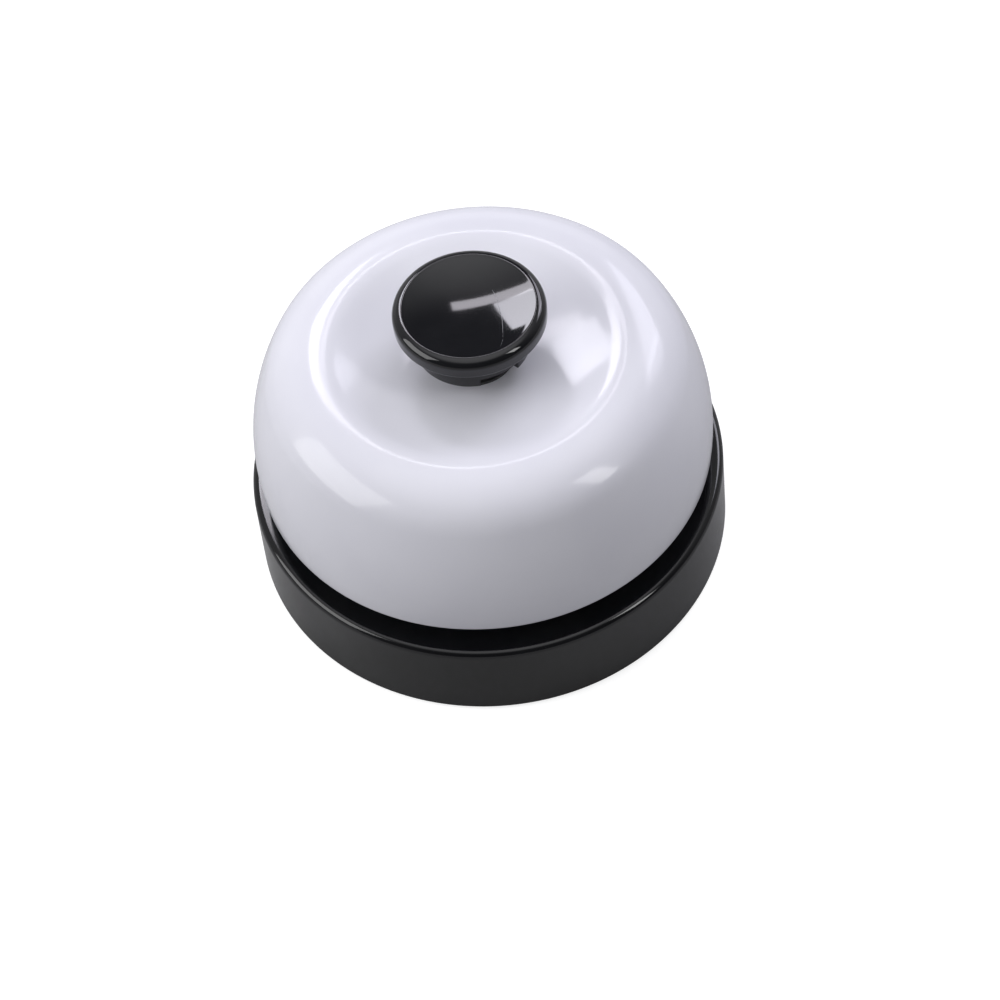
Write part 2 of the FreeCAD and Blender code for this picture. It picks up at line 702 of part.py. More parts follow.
def hex_nut(name, foot, height):
    """A thin hexagon nut on the post, chamfered on its upper face."""
    nut = new_part(name, "Part::Cut")
    hexagon = doc.addObject("Part::Prism", f"{name}_hexagon")
    hexagon.Polygon = HEXAGON_SIDES
    half_side = as_size(FULL_TURN / HEXAGON_SIDES / 2)
    bind(hexagon, "Circumradius", dim.nut_flats / 2 / cosine(half_side))
    bind(hexagon, "Height", height)
    place(hexagon, ZERO, ZERO, foot)
    cone = doc.addObject("Part::Cone", f"{name}_chamfer")
    slope = cosine(half_side) / sine(half_side)
    bind(cone, "Radius1", dim.nut_chamfer_radius + height * slope)
    bind(cone, "Radius2", dim.nut_chamfer_radius)
    bind(cone, "Height", height)
    place(cone, ZERO, ZERO, foot)
    blank = doc.addObject("Part::Common", f"{name}_blank")
    blank.Base = hexagon
    blank.Tool = cone
    bore = cylinder(f"{name}_bore", dim.post_thread + dim.thread_gap, height, foot)
    subtract(nut, blank, [bore])


def flat_washer(name, foot, height):
    """A plain washer on the post."""
    washer = new_part(name, "Part::Cut")
    blank = cylinder(f"{name}_blank", dim.washer_radius, height, foot)
    bore = cylinder(f"{name}_bore", dim.post_thread + dim.washer_gap, height, foot)
    subtract(washer, blank, [bore])


def lock_washer():
    """The split washer between the bridge and the nut below it."""
    washer = new_part("lock_washer", "Part::Cut")
    foot = dim.bracket_underside - dim.lock_washer_height
    blank = cylinder("lock_washer_blank", dim.lock_washer_radius, dim.lock_washer_height, foot)
    bore = cylinder("lock_washer_bore", dim.post_thread + dim.washer_gap, dim.lock_washer_height, foot)
    slit = doc.addObject("Part::Box", "lock_washer_gap")
    bind(slit, "Length", dim.lock_washer_radius)
    bind(slit, "Width", dim.lock_washer_slit)
    bind(slit, "Height", dim.lock_washer_height)
    place(slit, -dim.lock_washer_radius, -dim.lock_washer_slit / 2, foot)
    subtract(washer, blank, [bore, slit])


def nuts_and_washers():
    """The nuts and washers that clamp the post to the bracket and the gong to the post."""
    lock_washer()
    nut_foot = dim.bracket_underside - dim.lock_washer_height - dim.post_nut_height
    hex_nut("post_nut", nut_foot, dim.post_nut_height)
    flat_washer("seat_washer", post_seat, dim.seat_washer_height)
    flat_washer("top_washer", dim.gong_crown, dim.top_washer_height)
    hex_nut("gong_nut", gong_nut_foot, dim.gong_nut_height)


# ---------------------------------------------------------------- gong

def polar(centre_x, centre_y, radius, angle):
    """The point at an angle on a circle."""
    return centre_x + radius * cosine(angle), centre_y + radius * sine(angle)


def gong_dome():
    """The pressed steel gong: a dished top, a broad ridge, a shoulder, a bowed side and a
    tucked rim. Each arc is tangent to the next."""
    body = new_body("gong_dome")
    # The dish leaves the flat seat level and meets the ridge at the slope with this half tangent.
    half_tangent = (dim.gong_ridge_height - dim.gong_crown) / (dim.gong_ridge_radius - dim.gong_seat)
    square = half_tangent * half_tangent
    slope_sine = half_tangent * 2 / (square + 1)
    slope_cosine = (1 - square) / (square + 1)
    dish = (dim.gong_ridge_radius - dim.gong_seat) / slope_sine - dim.gong_ridge
    ridge_x = dim.gong_ridge_radius
    ridge_y = dim.gong_ridge_height - dim.gong_ridge
    drop = dim.gong_ridge - dim.gong_shoulder
    shoulder_x = ridge_x + drop * cosine(dim.gong_break)
    shoulder_y = ridge_y + drop * sine(dim.gong_break)
    inset = dim.gong_side - dim.gong_shoulder
    side_x = shoulder_x - inset * cosine(dim.gong_lean)
    side_y = shoulder_y - inset * sine(dim.gong_lean)

    def skin(depth):
        """The section's corners, from the seat out to the rim, at a depth below the outside."""
        ridge = dim.gong_ridge - depth
        shoulder = dim.gong_shoulder - depth
        side = dim.gong_side - depth
        return [
            (dim.gong_seat, dim.gong_crown - depth),
            (ridge_x - ridge * slope_sine, ridge_y + ridge * slope_cosine),
            polar(ridge_x, ridge_y, ridge, dim.gong_break),
            polar(shoulder_x, shoulder_y, shoulder, dim.gong_lean),
            polar(side_x, side_y, side, -dim.gong_tuck),
        ], [dish + depth, -ridge, -shoulder, -side]

    outer, outer_bends = skin(ZERO)
    inner, inner_bends = skin(dim.gong_sheet)
    hole = dim.post_thread + dim.washer_gap
    corners = [(hole, dim.gong_crown)]
    corners += [point + (bend,) for point, bend in zip(outer, outer_bends + [-dim.gong_lip])]
    back_bends = [-bend for bend in reversed(inner_bends)]
    corners += [point + (bend,) for point, bend in zip(reversed(inner), back_bends)]
    corners += [inner[0], (hole, gong_underside)]
    sketch = sketch_on(body, "XZ_Plane", "section")
    outline(sketch, corners)
    revolve(body, sketch)


# ---------------------------------------------------------------- button

def button_cap():
    """The moulded button: a dished disc with a round rim, a notched skirt and a boss for the rod."""
    body = new_body("button_cap")
    rim = dim.cap_radius - dim.cap_edge
    # The dish is the arc about a point on the axis that is tangent to the rim's rounding.
    dish_height = (rim * rim - dim.cap_dip * dim.cap_dip) / (dim.cap_dip * 2)
    dish = dish_height - dim.cap_edge + dim.cap_dip
    share = dish / (dish + dim.cap_edge)
    edge_centre = dim.cap_top - dim.cap_edge
    dish_centre = edge_centre + dish_height
    skirt_inside = dim.skirt_radius - dim.skirt_wall
    socket = dim.rod_head + dim.clip_gap
    sketch = sketch_on(body, "XZ_Plane", "section")
    outline(sketch, [
        (ZERO, dish_centre - dish, dish),
        (rim * share, dish_centre - dish_height * share, -dim.cap_edge),
        (dim.cap_radius, edge_centre),
        (dim.cap_radius, dim.cap_underside + dim.cap_low_edge, -dim.cap_low_edge),
        (dim.cap_radius - dim.cap_low_edge, dim.cap_underside),
        (dim.skirt_radius, dim.cap_underside),
        (dim.skirt_radius, dim.skirt_foot + dim.skirt_round, -dim.skirt_round),
        (dim.skirt_radius - dim.skirt_round, dim.skirt_foot),
        (skirt_inside, dim.skirt_foot),
        (skirt_inside, dim.cap_underside),
        (dim.cap_boss_radius, dim.cap_underside),
        (dim.cap_boss_radius, dim.cap_boss_foot),
        (dim.rod_radius, dim.cap_boss_foot),
        (dim.rod_radius, socket),
        (ZERO, socket),
    ])
    revolve(body, sketch)

    rib = sketch_on(body, "XY_Plane", "rib", out=dim.cap_underside - dim.cap_rib_depth)
    half_rib = dim.cap_rib_thickness / 2
    rectangle(rib, dim.cap_rib_start, -half_rib, skirt_inside + half_rib, half_rib)
    rib_pad = pad(body, rib, dim.cap_rib_depth + half_rib, "rib_pad")
    spread(body, rib_pad, dim.cap_rib_count, "rib_ring")

    near = skirt_inside - dim.skirt_wall
    far = dim.skirt_radius + dim.skirt_wall
    notch = sketch_on(body, "XY_Plane", "notch", out=dim.skirt_foot)
    outline(notch, [
        polar(ZERO, ZERO, near, dim.notch_start),
        polar(ZERO, ZERO, far, dim.notch_start) + (far,),
        polar(ZERO, ZERO, far, dim.notch_end),
        polar(ZERO, ZERO, near, dim.notch_end) + (-near,),
    ])
    spread(body, cut(body, notch, dim.notch_rise, "notch_cut", along_normal=True), dim.notch_count)


def plunger_rod():
    """The steel rod pressed into the button, with a rounded tip and a clip groove."""
    body = new_body("plunger_rod")
    groove_top = dim.post_tail
    groove_foot = groove_top - dim.clip_sheet - dim.clip_gap * 2
    sketch = sketch_on(body, "XZ_Plane", "section")
    outline(sketch, [
        (ZERO, dim.rod_tip, dim.rod_radius),
        (dim.rod_radius, dim.rod_tip + dim.rod_radius),
        (dim.rod_radius, groove_foot),
        (dim.rod_neck, groove_foot),
        (dim.rod_neck, groove_top),
        (dim.rod_radius, groove_top),
        (dim.rod_radius, dim.rod_head - dim.rod_chamfer),
        (dim.rod_radius - dim.rod_chamfer, dim.rod_head),
        (ZERO, dim.rod_head),
    ])
    revolve(body, sketch)


def retaining_clip(name, neck, radius):
    """An E-clip about its own upright axis: a ring with a mouth and two relief notches."""
    clip = new_part(name, "Part::Cut")
    height = dim.clip_sheet
    blank = cylinder(f"{name}_blank", radius, height)
    bore = cylinder(f"{name}_bore", neck + dim.clip_snug, height)
    mouth = doc.addObject("Part::Box", f"{name}_mouth")
    mouth_half = neck * dim.clip_mouth
    bind(mouth, "Length", radius)
    bind(mouth, "Width", mouth_half * 2)
    bind(mouth, "Height", height)
    place(mouth, -radius, -mouth_half, ZERO)
    relief_centre = (neck + radius) / 2
    relief_radius = (radius - neck) * dim.clip_relief
    reliefs = []
    back = relief_centre * cosine(dim.clip_relief_angle)
    aside = relief_centre * sine(dim.clip_relief_angle)
    for number, side in enumerate((1, -1), start=1):
        reliefs.append(cylinder(f"{name}_relief{number}", relief_radius, height, x=back, y=aside * side))
    subtract(clip, blank, [bore, mouth] + reliefs)
    return clip


def plunger_clip():
    """The clip on the rod: it meets the post's lower end and keeps the button from lifting out."""
    clip = retaining_clip("plunger_clip", dim.rod_neck, dim.rod_clip_radius)
    place(clip, ZERO, ZERO, dim.post_tail - dim.clip_gap - dim.clip_sheet)


def return_spring():
    """The compression spring between the gong nut and the button."""
    body = new_body("return_spring")
    end = dim.return_wire + dim.spring_rest
    sketch = sketch_on(body, "XZ_Plane", "wire", up=gong_nut_top + end)
    circle(sketch, dim.return_coil, ZERO, dim.return_wire)
    coil = body.newObject("PartDesign::AdditiveHelix", "return_spring_coil")
    coil.Profile = sketch
    coil.ReferenceAxis = (sketch, ["V_Axis"])
    coil.Mode = "height-turns-angle"
    bind(coil, "Height", dim.cap_underside - gong_nut_top - end * 2)
    bind(coil, "Turns", dim.return_turns)


# ---------------------------------------------------------------- lever and hammer

def striker_lever():
    """The stamped lever: a strip with a rounded end for the hammer and two ears on the pivot."""
    body = new_body("striker_lever")
    half = dim.lever_half_width
    corner = dim.lever_heel_round
    station = dim.hammer_station
    strip = sketch_on(body, "XY_Plane", "strip", out=lever_underside)
    outline(strip, [
        (corner - dim.lever_heel, -half),
        (station, -half, half),
        (station + half, ZERO, half),
        (station, half),
        (corner - dim.lever_heel, half, corner),
        (-dim.lever_heel, half - corner),
        (-dim.lever_heel, corner - half, corner),
    ])
    pad(body, strip, dim.sheet, "strip_pad")

    ear = sketch_on(body, "XZ_Plane", "ear", out=half - dim.ear_sheet)
    outline(ear, [
        (dim.pivot_station - dim.ear_radius, dim.pivot_height, dim.ear_radius),
        (dim.pivot_station, dim.pivot_height - dim.ear_radius, dim.ear_radius),
        (dim.pivot_station + dim.ear_radius, dim.pivot_height),
        (dim.pivot_station + dim.ear_radius, lever_underside + dim.sheet / 2),
        (dim.pivot_station - dim.ear_radius, lever_underside + dim.sheet / 2),
    ])
    mirror(body, pad(body, ear, dim.ear_sheet, "ear_pad"), "ears")

    pivots = sketch_on(body, "XZ_Plane", "pivots", out=half)
    circle(pivots, dim.pivot_station, dim.pivot_height, dim.pin_radius + dim.running_gap)
    cut(body, pivots, half * 2, "pivot_holes")

    eye = sketch_on(body, "XY_Plane", "eye", out=dim.lever_top)
    circle(eye, station, ZERO, dim.shank_radius + dim.shank_gap)
    cut(body, eye, dim.sheet, "eye_hole")


def hammer_head():
    """The brass hammer: a domed slug whose shank is riveted through the lever's eye."""
    body = new_body("hammer_head")
    rivet_foot = lever_underside - dim.rivet_height
    rivet_edge = dim.rivet_height / 2
    half_chord_square = dim.hammer_radius * dim.hammer_radius
    crown = (half_chord_square / dim.hammer_dome + dim.hammer_dome) / 2
    sketch = sketch_on(body, "XZ_Plane", "section", across=dim.hammer_station)
    outline(sketch, [
        (ZERO, rivet_foot),
        (dim.rivet_radius - rivet_edge, rivet_foot, rivet_edge),
        (dim.rivet_radius, rivet_foot + rivet_edge),
        (dim.rivet_radius, lever_underside),
        (dim.shank_radius, lever_underside),
        (dim.shank_radius, dim.lever_top),
        (dim.hammer_radius, dim.lever_top),
        (dim.hammer_radius, dim.hammer_crown - dim.hammer_dome, crown),
        (ZERO, dim.hammer_crown),
    ])
    revolve(body, sketch)


def pivot_pin():
    """The headed pin that crosses the bracket's legs and carries the lever."""
    body = new_body("pivot_pin")
    head_end = -bracket_leg - dim.pin_head_height
    head_round = dim.pin_head_height / 2
    groove = bracket_leg + dim.clip_gap
    groove_end = groove + dim.clip_sheet + dim.clip_gap * 2
    pin_end = groove_end + dim.pin_end
    chamfer = dim.pin_head_height / 4
    sketch = sketch_on(body, "YZ_Plane", "section", up=dim.pivot_height, out=dim.pivot_station)
    outline(sketch, [
        (head_end, ZERO),
        (head_end, dim.pin_head_radius - head_round, -head_round),
        (head_end + head_round, dim.pin_head_radius),
        (-bracket_leg, dim.pin_head_radius),
        (-bracket_leg, dim.pin_radius),
        (groove, dim.pin_radius),
        (groove, dim.pin_neck),
        (groove_end, dim.pin_neck),
        (groove_end, dim.pin_radius),
        (pin_end - chamfer, dim.pin_radius),
        (pin_end, dim.pin_radius - chamfer),
        (pin_end, ZERO),
    ])
    revolve(body, sketch, axis="H_Axis")


def pin_clip():
    """The clip in the pin's groove, outside the bracket's rear leg."""
    clip = retaining_clip("pin_clip", dim.pin_neck, dim.pin_clip_radius)
    clip.Placement = FreeCAD.Placement(
        FreeCAD.Vector(0, 0, 0), FreeCAD.Rotation(FreeCAD.Vector(1, 0, 0), 90))
    far_face = bracket_leg + dim.clip_gap * 2 + dim.clip_sheet
    place(clip, dim.pivot_station, far_face, dim.pivot_height)


def pivot_spacers():
    """Two tubes on the pin that keep the lever midway between the bracket's legs."""
    body = new_body("pivot_spacers")
    start = dim.lever_half_width + dim.spacer_play
    sketch = sketch_on(body, "XZ_Plane", "ring", out=start)
    for radius in (dim.spacer_radius, dim.pin_radius + dim.running_gap):
        circle(sketch, dim.pivot_station, dim.pivot_height, radius)
    mirror(body, pad(body, sketch, dim.bracket_gap - dim.spacer_play - start, "tube"))


def torsion_spring():
    """The lever's spring: coils round the pin, one leg under the lever's strip and one on the
    housing. It is swept along a helix, then its straight legs are joined on, about its own
    upright axis, and the whole is laid along the pin."""
    lower = math.radians(dim.torsion_lower_angle.value)
    upper = math.radians(dim.torsion_upper_angle.value)
    turns = dim.torsion_turns.value + (upper - lower) / math.tau
    height = dim.torsion_pitch.value * turns
    coil_radius = dim.torsion_coil.value
    wire_radius = dim.torsion_wire.value

    def rim_point(angle, level):
        """The middle of the wire at an angle and a level."""
        return FreeCAD.Vector(coil_radius * math.cos(angle), coil_radius * math.sin(angle), level)

    def rim_course(angle, sense):
        """The direction in which a leg leaves the coil."""
        return FreeCAD.Vector(-math.sin(angle), math.cos(angle), 0) * sense

    helix = Part.makeHelix(dim.torsion_pitch.value, height, coil_radius)
    helix.translate(FreeCAD.Vector(0, 0, -height / 2))
    helix.rotate(FreeCAD.Vector(0, 0, 0), FreeCAD.Vector(0, 0, 1), math.degrees(lower))
    start = rim_point(lower, -height / 2)
    finish = rim_point(upper, height / 2)
    ring = Part.Wire([Part.makeCircle(wire_radius, start, rim_course(lower, 1))])
    solid = Part.Wire(helix.Edges).makePipeShell([ring], True, True)
    lower_leg = Part.makeCylinder(
        wire_radius, dim.torsion_lower_leg.value, start, rim_course(lower, -1))
    upper_leg = Part.makeCylinder(
        wire_radius, dim.torsion_upper_leg.value, finish, rim_course(upper, 1))
    elbows = [Part.makeSphere(wire_radius, point) for point in (start, finish)]
    spring = new_part("lever_spring", "Part::Feature")
    spring.Shape = solid.fuse([lower_leg, upper_leg] + elbows)
    spring.Placement = FreeCAD.Placement(
        FreeCAD.Vector(dim.pivot_station.value, 0, dim.pivot_height.value),
        FreeCAD.Rotation(FreeCAD.Vector(1, 0, 0), 90))


# ---------------------------------------------------------------- the whole bell

def build():
    """Makes every sub-part."""
    base_housing()
    base_plate()
    plate_screws()
    foot_pads()
    mechanism_bracket()
    bracket_screws()
    centre_post()
    nuts_and_washers()
    gong_dome()
    button_cap()
    plunger_rod()
    plunger_clip()
    return_spring()
    striker_lever()
    hammer_head()
    pivot_pin()
    pin_clip()
    pivot_spacers()
    torsion_spring()
    doc.recompute()


def check():
    """Stops if any object failed, or if a sub-part has no sound shape."""
    for item in doc.Objects:
        if "Invalid" in item.State or "Error" in item.State:
            raise ValueError(f"{item.Name} is {item.State}")
    for part in parts:
        if part.Shape.isNull() or not part.Shape.isValid() or not part.Shape.Solids:
            raise ValueError(f"{part.Label} has no sound shape")


def write():
    """Writes one STEP file for each sub-part."""
    os.makedirs("parts", exist_ok=True)
    for part in parts:
        part.Shape.exportStep(f"parts/{part.Label}.step")
        print(f"{part.Label:20} solids {len(part.Shape.Solids)}  volume {part.Shape.Volume:9.2f}")


build()
check()
write()
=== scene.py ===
import json
import math

import bmesh
import bpy
from mathutils import Matrix, Vector

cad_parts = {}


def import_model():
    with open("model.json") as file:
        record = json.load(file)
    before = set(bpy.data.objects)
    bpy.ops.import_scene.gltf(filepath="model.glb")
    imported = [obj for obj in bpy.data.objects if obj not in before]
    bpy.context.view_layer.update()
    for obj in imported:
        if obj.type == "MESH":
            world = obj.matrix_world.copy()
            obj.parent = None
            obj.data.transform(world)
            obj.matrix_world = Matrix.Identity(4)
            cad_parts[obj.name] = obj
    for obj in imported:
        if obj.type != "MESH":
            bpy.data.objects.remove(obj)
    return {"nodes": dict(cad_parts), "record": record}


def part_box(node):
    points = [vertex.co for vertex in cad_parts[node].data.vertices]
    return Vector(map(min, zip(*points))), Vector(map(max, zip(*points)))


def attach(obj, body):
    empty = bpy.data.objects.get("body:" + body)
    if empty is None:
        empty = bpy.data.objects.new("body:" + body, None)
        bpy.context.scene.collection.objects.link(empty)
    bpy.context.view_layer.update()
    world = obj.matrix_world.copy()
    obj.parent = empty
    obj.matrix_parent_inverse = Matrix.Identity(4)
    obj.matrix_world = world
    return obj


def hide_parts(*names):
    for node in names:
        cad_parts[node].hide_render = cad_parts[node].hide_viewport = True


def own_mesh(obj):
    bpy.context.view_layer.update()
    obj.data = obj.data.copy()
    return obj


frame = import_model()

# Looks for the counter service bell. Metres, in the frame of the CAD model: +Z up, the
# origin in the middle of the footprint on the table, -Y the front, the hammer on +X.
# Shells, turned pieces, springs and feet are built here, finely, to the sizes of the CAD
# nodes that they stand for; stamped pieces and screws keep their CAD meshes.

MM = 0.001
FULL_TURN = math.tau
RIGHT_ANGLE = math.pi / 2
SPRING_REST = 0.02 * MM
ARC_STEP = math.radians(2)
LIP_STEP = math.radians(15)
CREASE = math.radians(35)
WIRE_CREASE = math.radians(60)

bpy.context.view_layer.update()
node_slots = {part["node"]: part["material_slot"] for part in frame["record"]["subparts"]}
body_of_node = {node: body for body, nodes in frame["record"]["behaviour"]["bodies"].items()
                for node in nodes}


# ---------------------------------------------------------------- levels read from the frame

def top_of(node):
    """Height of a node's highest point."""
    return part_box(node)[1].z


def foot_of(node):
    """Height of a node's lowest point."""
    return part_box(node)[0].z


def reach_of(node):
    """Radius of a node that is turned about the bell's axis."""
    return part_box(node)[1].x


deck_top = top_of("base_housing")
gong_crown = foot_of("top_washer")
post_seat = foot_of("seat_washer")
post_foot = foot_of("centre_post")
bridge_top = top_of("mechanism_bracket")
lever_top = top_of("striker_lever")
cap_underside = top_of("return_spring") + SPRING_REST
hammer_station = (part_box("hammer_head")[0].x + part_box("hammer_head")[1].x) / 2


# ---------------------------------------------------------------- outlines and meshes

def polar(centre, radius, angle):
    """The point at an angle, in radians, on a circle in the section's plane."""
    return centre[0] + radius * math.cos(angle), centre[1] + radius * math.sin(angle)


def arc(centre, radius, start, end, step=ARC_STEP):
    """Points from one angle to another on a circle, no further apart than a step."""
    count = max(2, math.ceil(abs(end - start) / step))
    return [polar(centre, radius, start + (end - start) * index / count)
            for index in range(count + 1)]


def soften(corners, rounding, steps=5):
    """A closed outline with its corners rounded. A corner is (r, z), or (r, z, rounding)
    where it has a rounding of its own. A short flat follows each rounding, so that
    smooth shading doesn't spread onto the faces beside it."""
    points = []
    for index, corner in enumerate(corners):
        own = corner[2] if len(corner) == 3 else rounding
        here = Vector(corner[:2])
        before = Vector(corners[index - 1][:2]) - here
        after = Vector(corners[(index + 1) % len(corners)][:2]) - here
        turn = math.pi - before.angle(after)
        on_axis = abs(here.x) < 1e-9
        trim = own * math.tan(turn / 2)
        limit = min(before.length, after.length) * 0.45
        if own <= 0 or on_axis or turn < 0.02:
            points.append(tuple(here))
            continue
        trim = min(trim, limit)
        radius = trim / math.tan(turn / 2)
        before.normalize()
        after.normalize()
        centre = here + (before + after).normalized() * (radius / math.cos(turn / 2))
        start = here + before * trim - centre
        end = here + after * trim - centre
        flat = min(trim, limit) * 0.3
        points.append(tuple(centre + start + before * flat))
        for step in range(steps + 1):
            share = step / steps
            blend = start.normalized().slerp(end.normalized(), share)
            points.append(tuple(centre + blend * radius))
        points.append(tuple(centre + end + after * flat))
    return points


def finish_mesh(name, work, crease=CREASE):
    """Turns mesh work into an object that is smooth except across sharp creases."""
    bmesh.ops.recalc_face_normals(work, faces=work.faces)
    mesh = bpy.data.meshes.new(name)
    work.to_mesh(mesh)
    work.free()
    mesh.polygons.foreach_set("use_smooth", [True] * len(mesh.polygons))
    mesh.set_sharp_from_angle(angle=crease)
    thing = bpy.data.objects.new(name, mesh)
    bpy.context.scene.collection.objects.link(thing)
    return thing


def add_lathe(work, outline, segments=96, centre=(0, 0), axis=None):
    """Adds a closed outline, turned about an upright line or about a given placement."""
    placement = axis or Matrix.Translation((centre[0], centre[1], 0))
    rings = []
    for radius, height in outline:
        if abs(radius) < 1e-8:
            rings.append([work.verts.new(placement @ Vector((0, 0, height)))])
            continue
        ring = []
        for index in range(segments):
            angle = FULL_TURN * index / segments
            spot = Vector((radius * math.cos(angle), radius * math.sin(angle), height))
            ring.append(work.verts.new(placement @ spot))
        rings.append(ring)
    for low, high in zip(rings, rings[1:] + rings[:1]):
        if len(low) == 1 and len(high) == 1:
            continue
        for index in range(segments):
            following = (index + 1) % segments
            corners = [low[index % len(low)], low[following % len(low)],
                       high[following % len(high)], high[index % len(high)]]
            work.faces.new(list(dict.fromkeys(corners)))
    return rings


def lathe(name, outline, segments=96, centre=(0, 0), axis=None):
    """A piece turned from one closed outline."""
    work = bmesh.new()
    add_lathe(work, outline, segments, centre, axis)
    return finish_mesh(name, work)


def add_tube(work, path, radius, sides=16):
    """Adds a round wire along a path of points."""
    rings = []
    normal = None
    for index, point in enumerate(path):
        ahead = path[min(index + 1, len(path) - 1)] - path[max(index - 1, 0)]
        ahead.normalize()
        if normal is None:
            normal = ahead.orthogonal().normalized()
        normal = (normal - ahead * normal.dot(ahead)).normalized()
        side = ahead.cross(normal)
        rings.append([work.verts.new(point + (normal * math.cos(FULL_TURN * turn / sides)
                                              + side * math.sin(FULL_TURN * turn / sides)) * radius)
                      for turn in range(sides)])
    for low, high in zip(rings, rings[1:]):
        for index in range(sides):
            following = (index + 1) % sides
            work.faces.new((low[index], low[following], high[following], high[index]))
    work.faces.new(rings[0])
    work.faces.new(rings[-1])


def add_block(work, low, high, turn=0.0):
    """Adds a box between two corners, turned about the bell's axis."""
    made = bmesh.ops.create_cube(work, size=1.0)["verts"]
    low, high = Vector(low), Vector(high)
    span = high - low
    spin = Matrix.Rotation(turn, 4, "Z")
    for vertex in made:
        spot = low + Vector([(vertex.co[side] + 0.5) * span[side] for side in range(3)])
        vertex.co = spin @ spot
    return made


def stand_in(thing, node):
    """Puts a piece in the place of the CAD node it is built for."""
    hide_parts(node)
    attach(thing, body_of_node[node])
    thing.data.materials.append(material_for(node_slots[node]))
    return thing


# ---------------------------------------------------------------- material building blocks

class Graph:
    """A material's node tree, with short calls for the nodes used here."""

    def __init__(self, name=None, tree=None):
        if tree is None:
            self.material = bpy.data.materials.new(name)
            self.material.use_nodes = True
            tree = self.material.node_tree
        self.tree = tree
        self.tree.nodes.clear()
        self.place = self.add("ShaderNodeTexCoord").outputs["Object"]

    def add(self, kind, **settings):
        """A new node with some of its settings."""
        node = self.tree.nodes.new(kind)
        for key, value in settings.items():
            setattr(node, key, value)
        return node

    def feed(self, socket, value):
        """Links a value to a socket, or sets it."""
        if isinstance(value, bpy.types.NodeSocket):
            self.tree.links.new(value, socket)
        else:
            socket.default_value = value

    def calc(self, operation, first, second=0.0, third=0.0):
        """One step of arithmetic."""
        node = self.add("ShaderNodeMath", operation=operation)
        for socket, value in zip(node.inputs, (first, second, third)):
            self.feed(socket, value)
        return node.outputs[0]

    def spread(self, value, low, high, start=0.0, end=1.0):
        """Stretches the span low..high of a value to start..end, smoothly and clamped."""
        node = self.add("ShaderNodeMapRange", interpolation_type="SMOOTHSTEP")
        for name, setting in (("Value", value), ("From Min", low), ("From Max", high),
                              ("To Min", start), ("To Max", end)):
            self.feed(node.inputs[name], setting)
        return node.outputs[0]

    def mix(self, share, first, second):
        """A colour between two colours."""
        node = self.add("ShaderNodeMix", data_type="RGBA")
        self.feed(node.inputs["Factor"], share)
        self.feed(node.inputs["A"], first)
        self.feed(node.inputs["B"], second)
        return next(out for out in node.outputs if out.type == "RGBA")

    def mapped(self, scale=(1, 1, 1), turn=(0, 0, 0), shift=(0, 0, 0)):
        """The place on the object, turned, moved and stretched."""
        node = self.add("ShaderNodeMapping")
        self.feed(node.inputs["Vector"], self.place)
        node.inputs["Scale"].default_value = scale
        node.inputs["Rotation"].default_value = turn
        node.inputs["Location"].default_value = shift
        return node.outputs[0]

    def noise(self, size, detail=2.0, rough=0.5, place=None):
        """Smooth noise whose features are about a size across."""
        node = self.add("ShaderNodeTexNoise")
        self.feed(node.inputs["Vector"], place or self.place)
        node.inputs["Scale"].default_value = 1 / size
        node.inputs["Detail"].default_value = detail
        node.inputs["Roughness"].default_value = rough
        return node.outputs[0]

    def specks(self, spacing, share, size):
        """1 inside a few round specks, which sit in a share of cells of a given spacing."""
        node = self.add("ShaderNodeTexVoronoi")
        self.feed(node.inputs["Vector"], self.place)
        node.inputs["Scale"].default_value = 1 / spacing
        parts = self.add("ShaderNodeSeparateColor")
        self.feed(parts.inputs[0], node.outputs["Color"])
        chosen = self.calc("GREATER_THAN", parts.outputs[0], 1 - share)
        width = self.calc("MULTIPLY", parts.outputs[1], size / spacing)
        inside = self.calc("SUBTRACT", width, node.outputs["Distance"])
        near = self.spread(inside, 0, 0.4 * size / spacing)
        return self.calc("MULTIPLY", near, chosen)

    def hairlines(self, length, turn, share, seed):
        """1 on thin, nearly straight scratches of about a length, in a few patches."""
        stretched = self.mapped(scale=(1, 0.03, 1), turn=turn, shift=(seed, 0, seed))
        field = self.noise(length * 0.05, 0.0, place=stretched)
        line = self.calc("ABSOLUTE", self.calc("SUBTRACT", field, 0.5))
        line = self.spread(line, 0.0015, 0.006, 1, 0)
        patch = self.noise(length * 0.5, 1.0, place=self.mapped(shift=(seed, seed, 0)))
        patch = self.spread(patch, 0.72 - share, 0.78 - share)
        return self.calc("MULTIPLY", line, patch)

    def bump(self, height, depth, under=None):
        """A normal pushed out by a height of 0..1 that stands for a depth in metres."""
        node = self.add("ShaderNodeBump")
        self.feed(node.inputs["Height"], height)
        node.inputs["Distance"].default_value = depth
        node.inputs["Strength"].default_value = 1.0
        if under is not None:
            self.feed(node.inputs["Normal"], under)
        return node.outputs[0]

    def bevel(self, radius):
        """A normal that rounds sharp edges."""
        node = self.add("ShaderNodeBevel", samples=6)
        node.inputs["Radius"].default_value = radius
        return node.outputs[0]

    def distance(self, x, y, centre):
        """Distance from an upright line."""
        across = self.calc("SUBTRACT", x, centre[0])
        along = self.calc("SUBTRACT", y, centre[1])
        across = self.calc("MULTIPLY", across, across)
        along = self.calc("MULTIPLY", along, along)
        return self.calc("SQRT", self.calc("ADD", across, along))

    def rings(self, size, centre=(0, 0), detail=2.0):
        """Fine rings left by turning: noise that depends only on height and on radius."""
        split = self.add("ShaderNodeSeparateXYZ")
        self.feed(split.inputs[0], self.place)
        join = self.add("ShaderNodeCombineXYZ")
        self.feed(join.inputs[0], self.distance(split.outputs[0], split.outputs[1], centre))
        self.feed(join.inputs[2], split.outputs[2])
        return self.noise(size, detail, place=join.outputs[0])

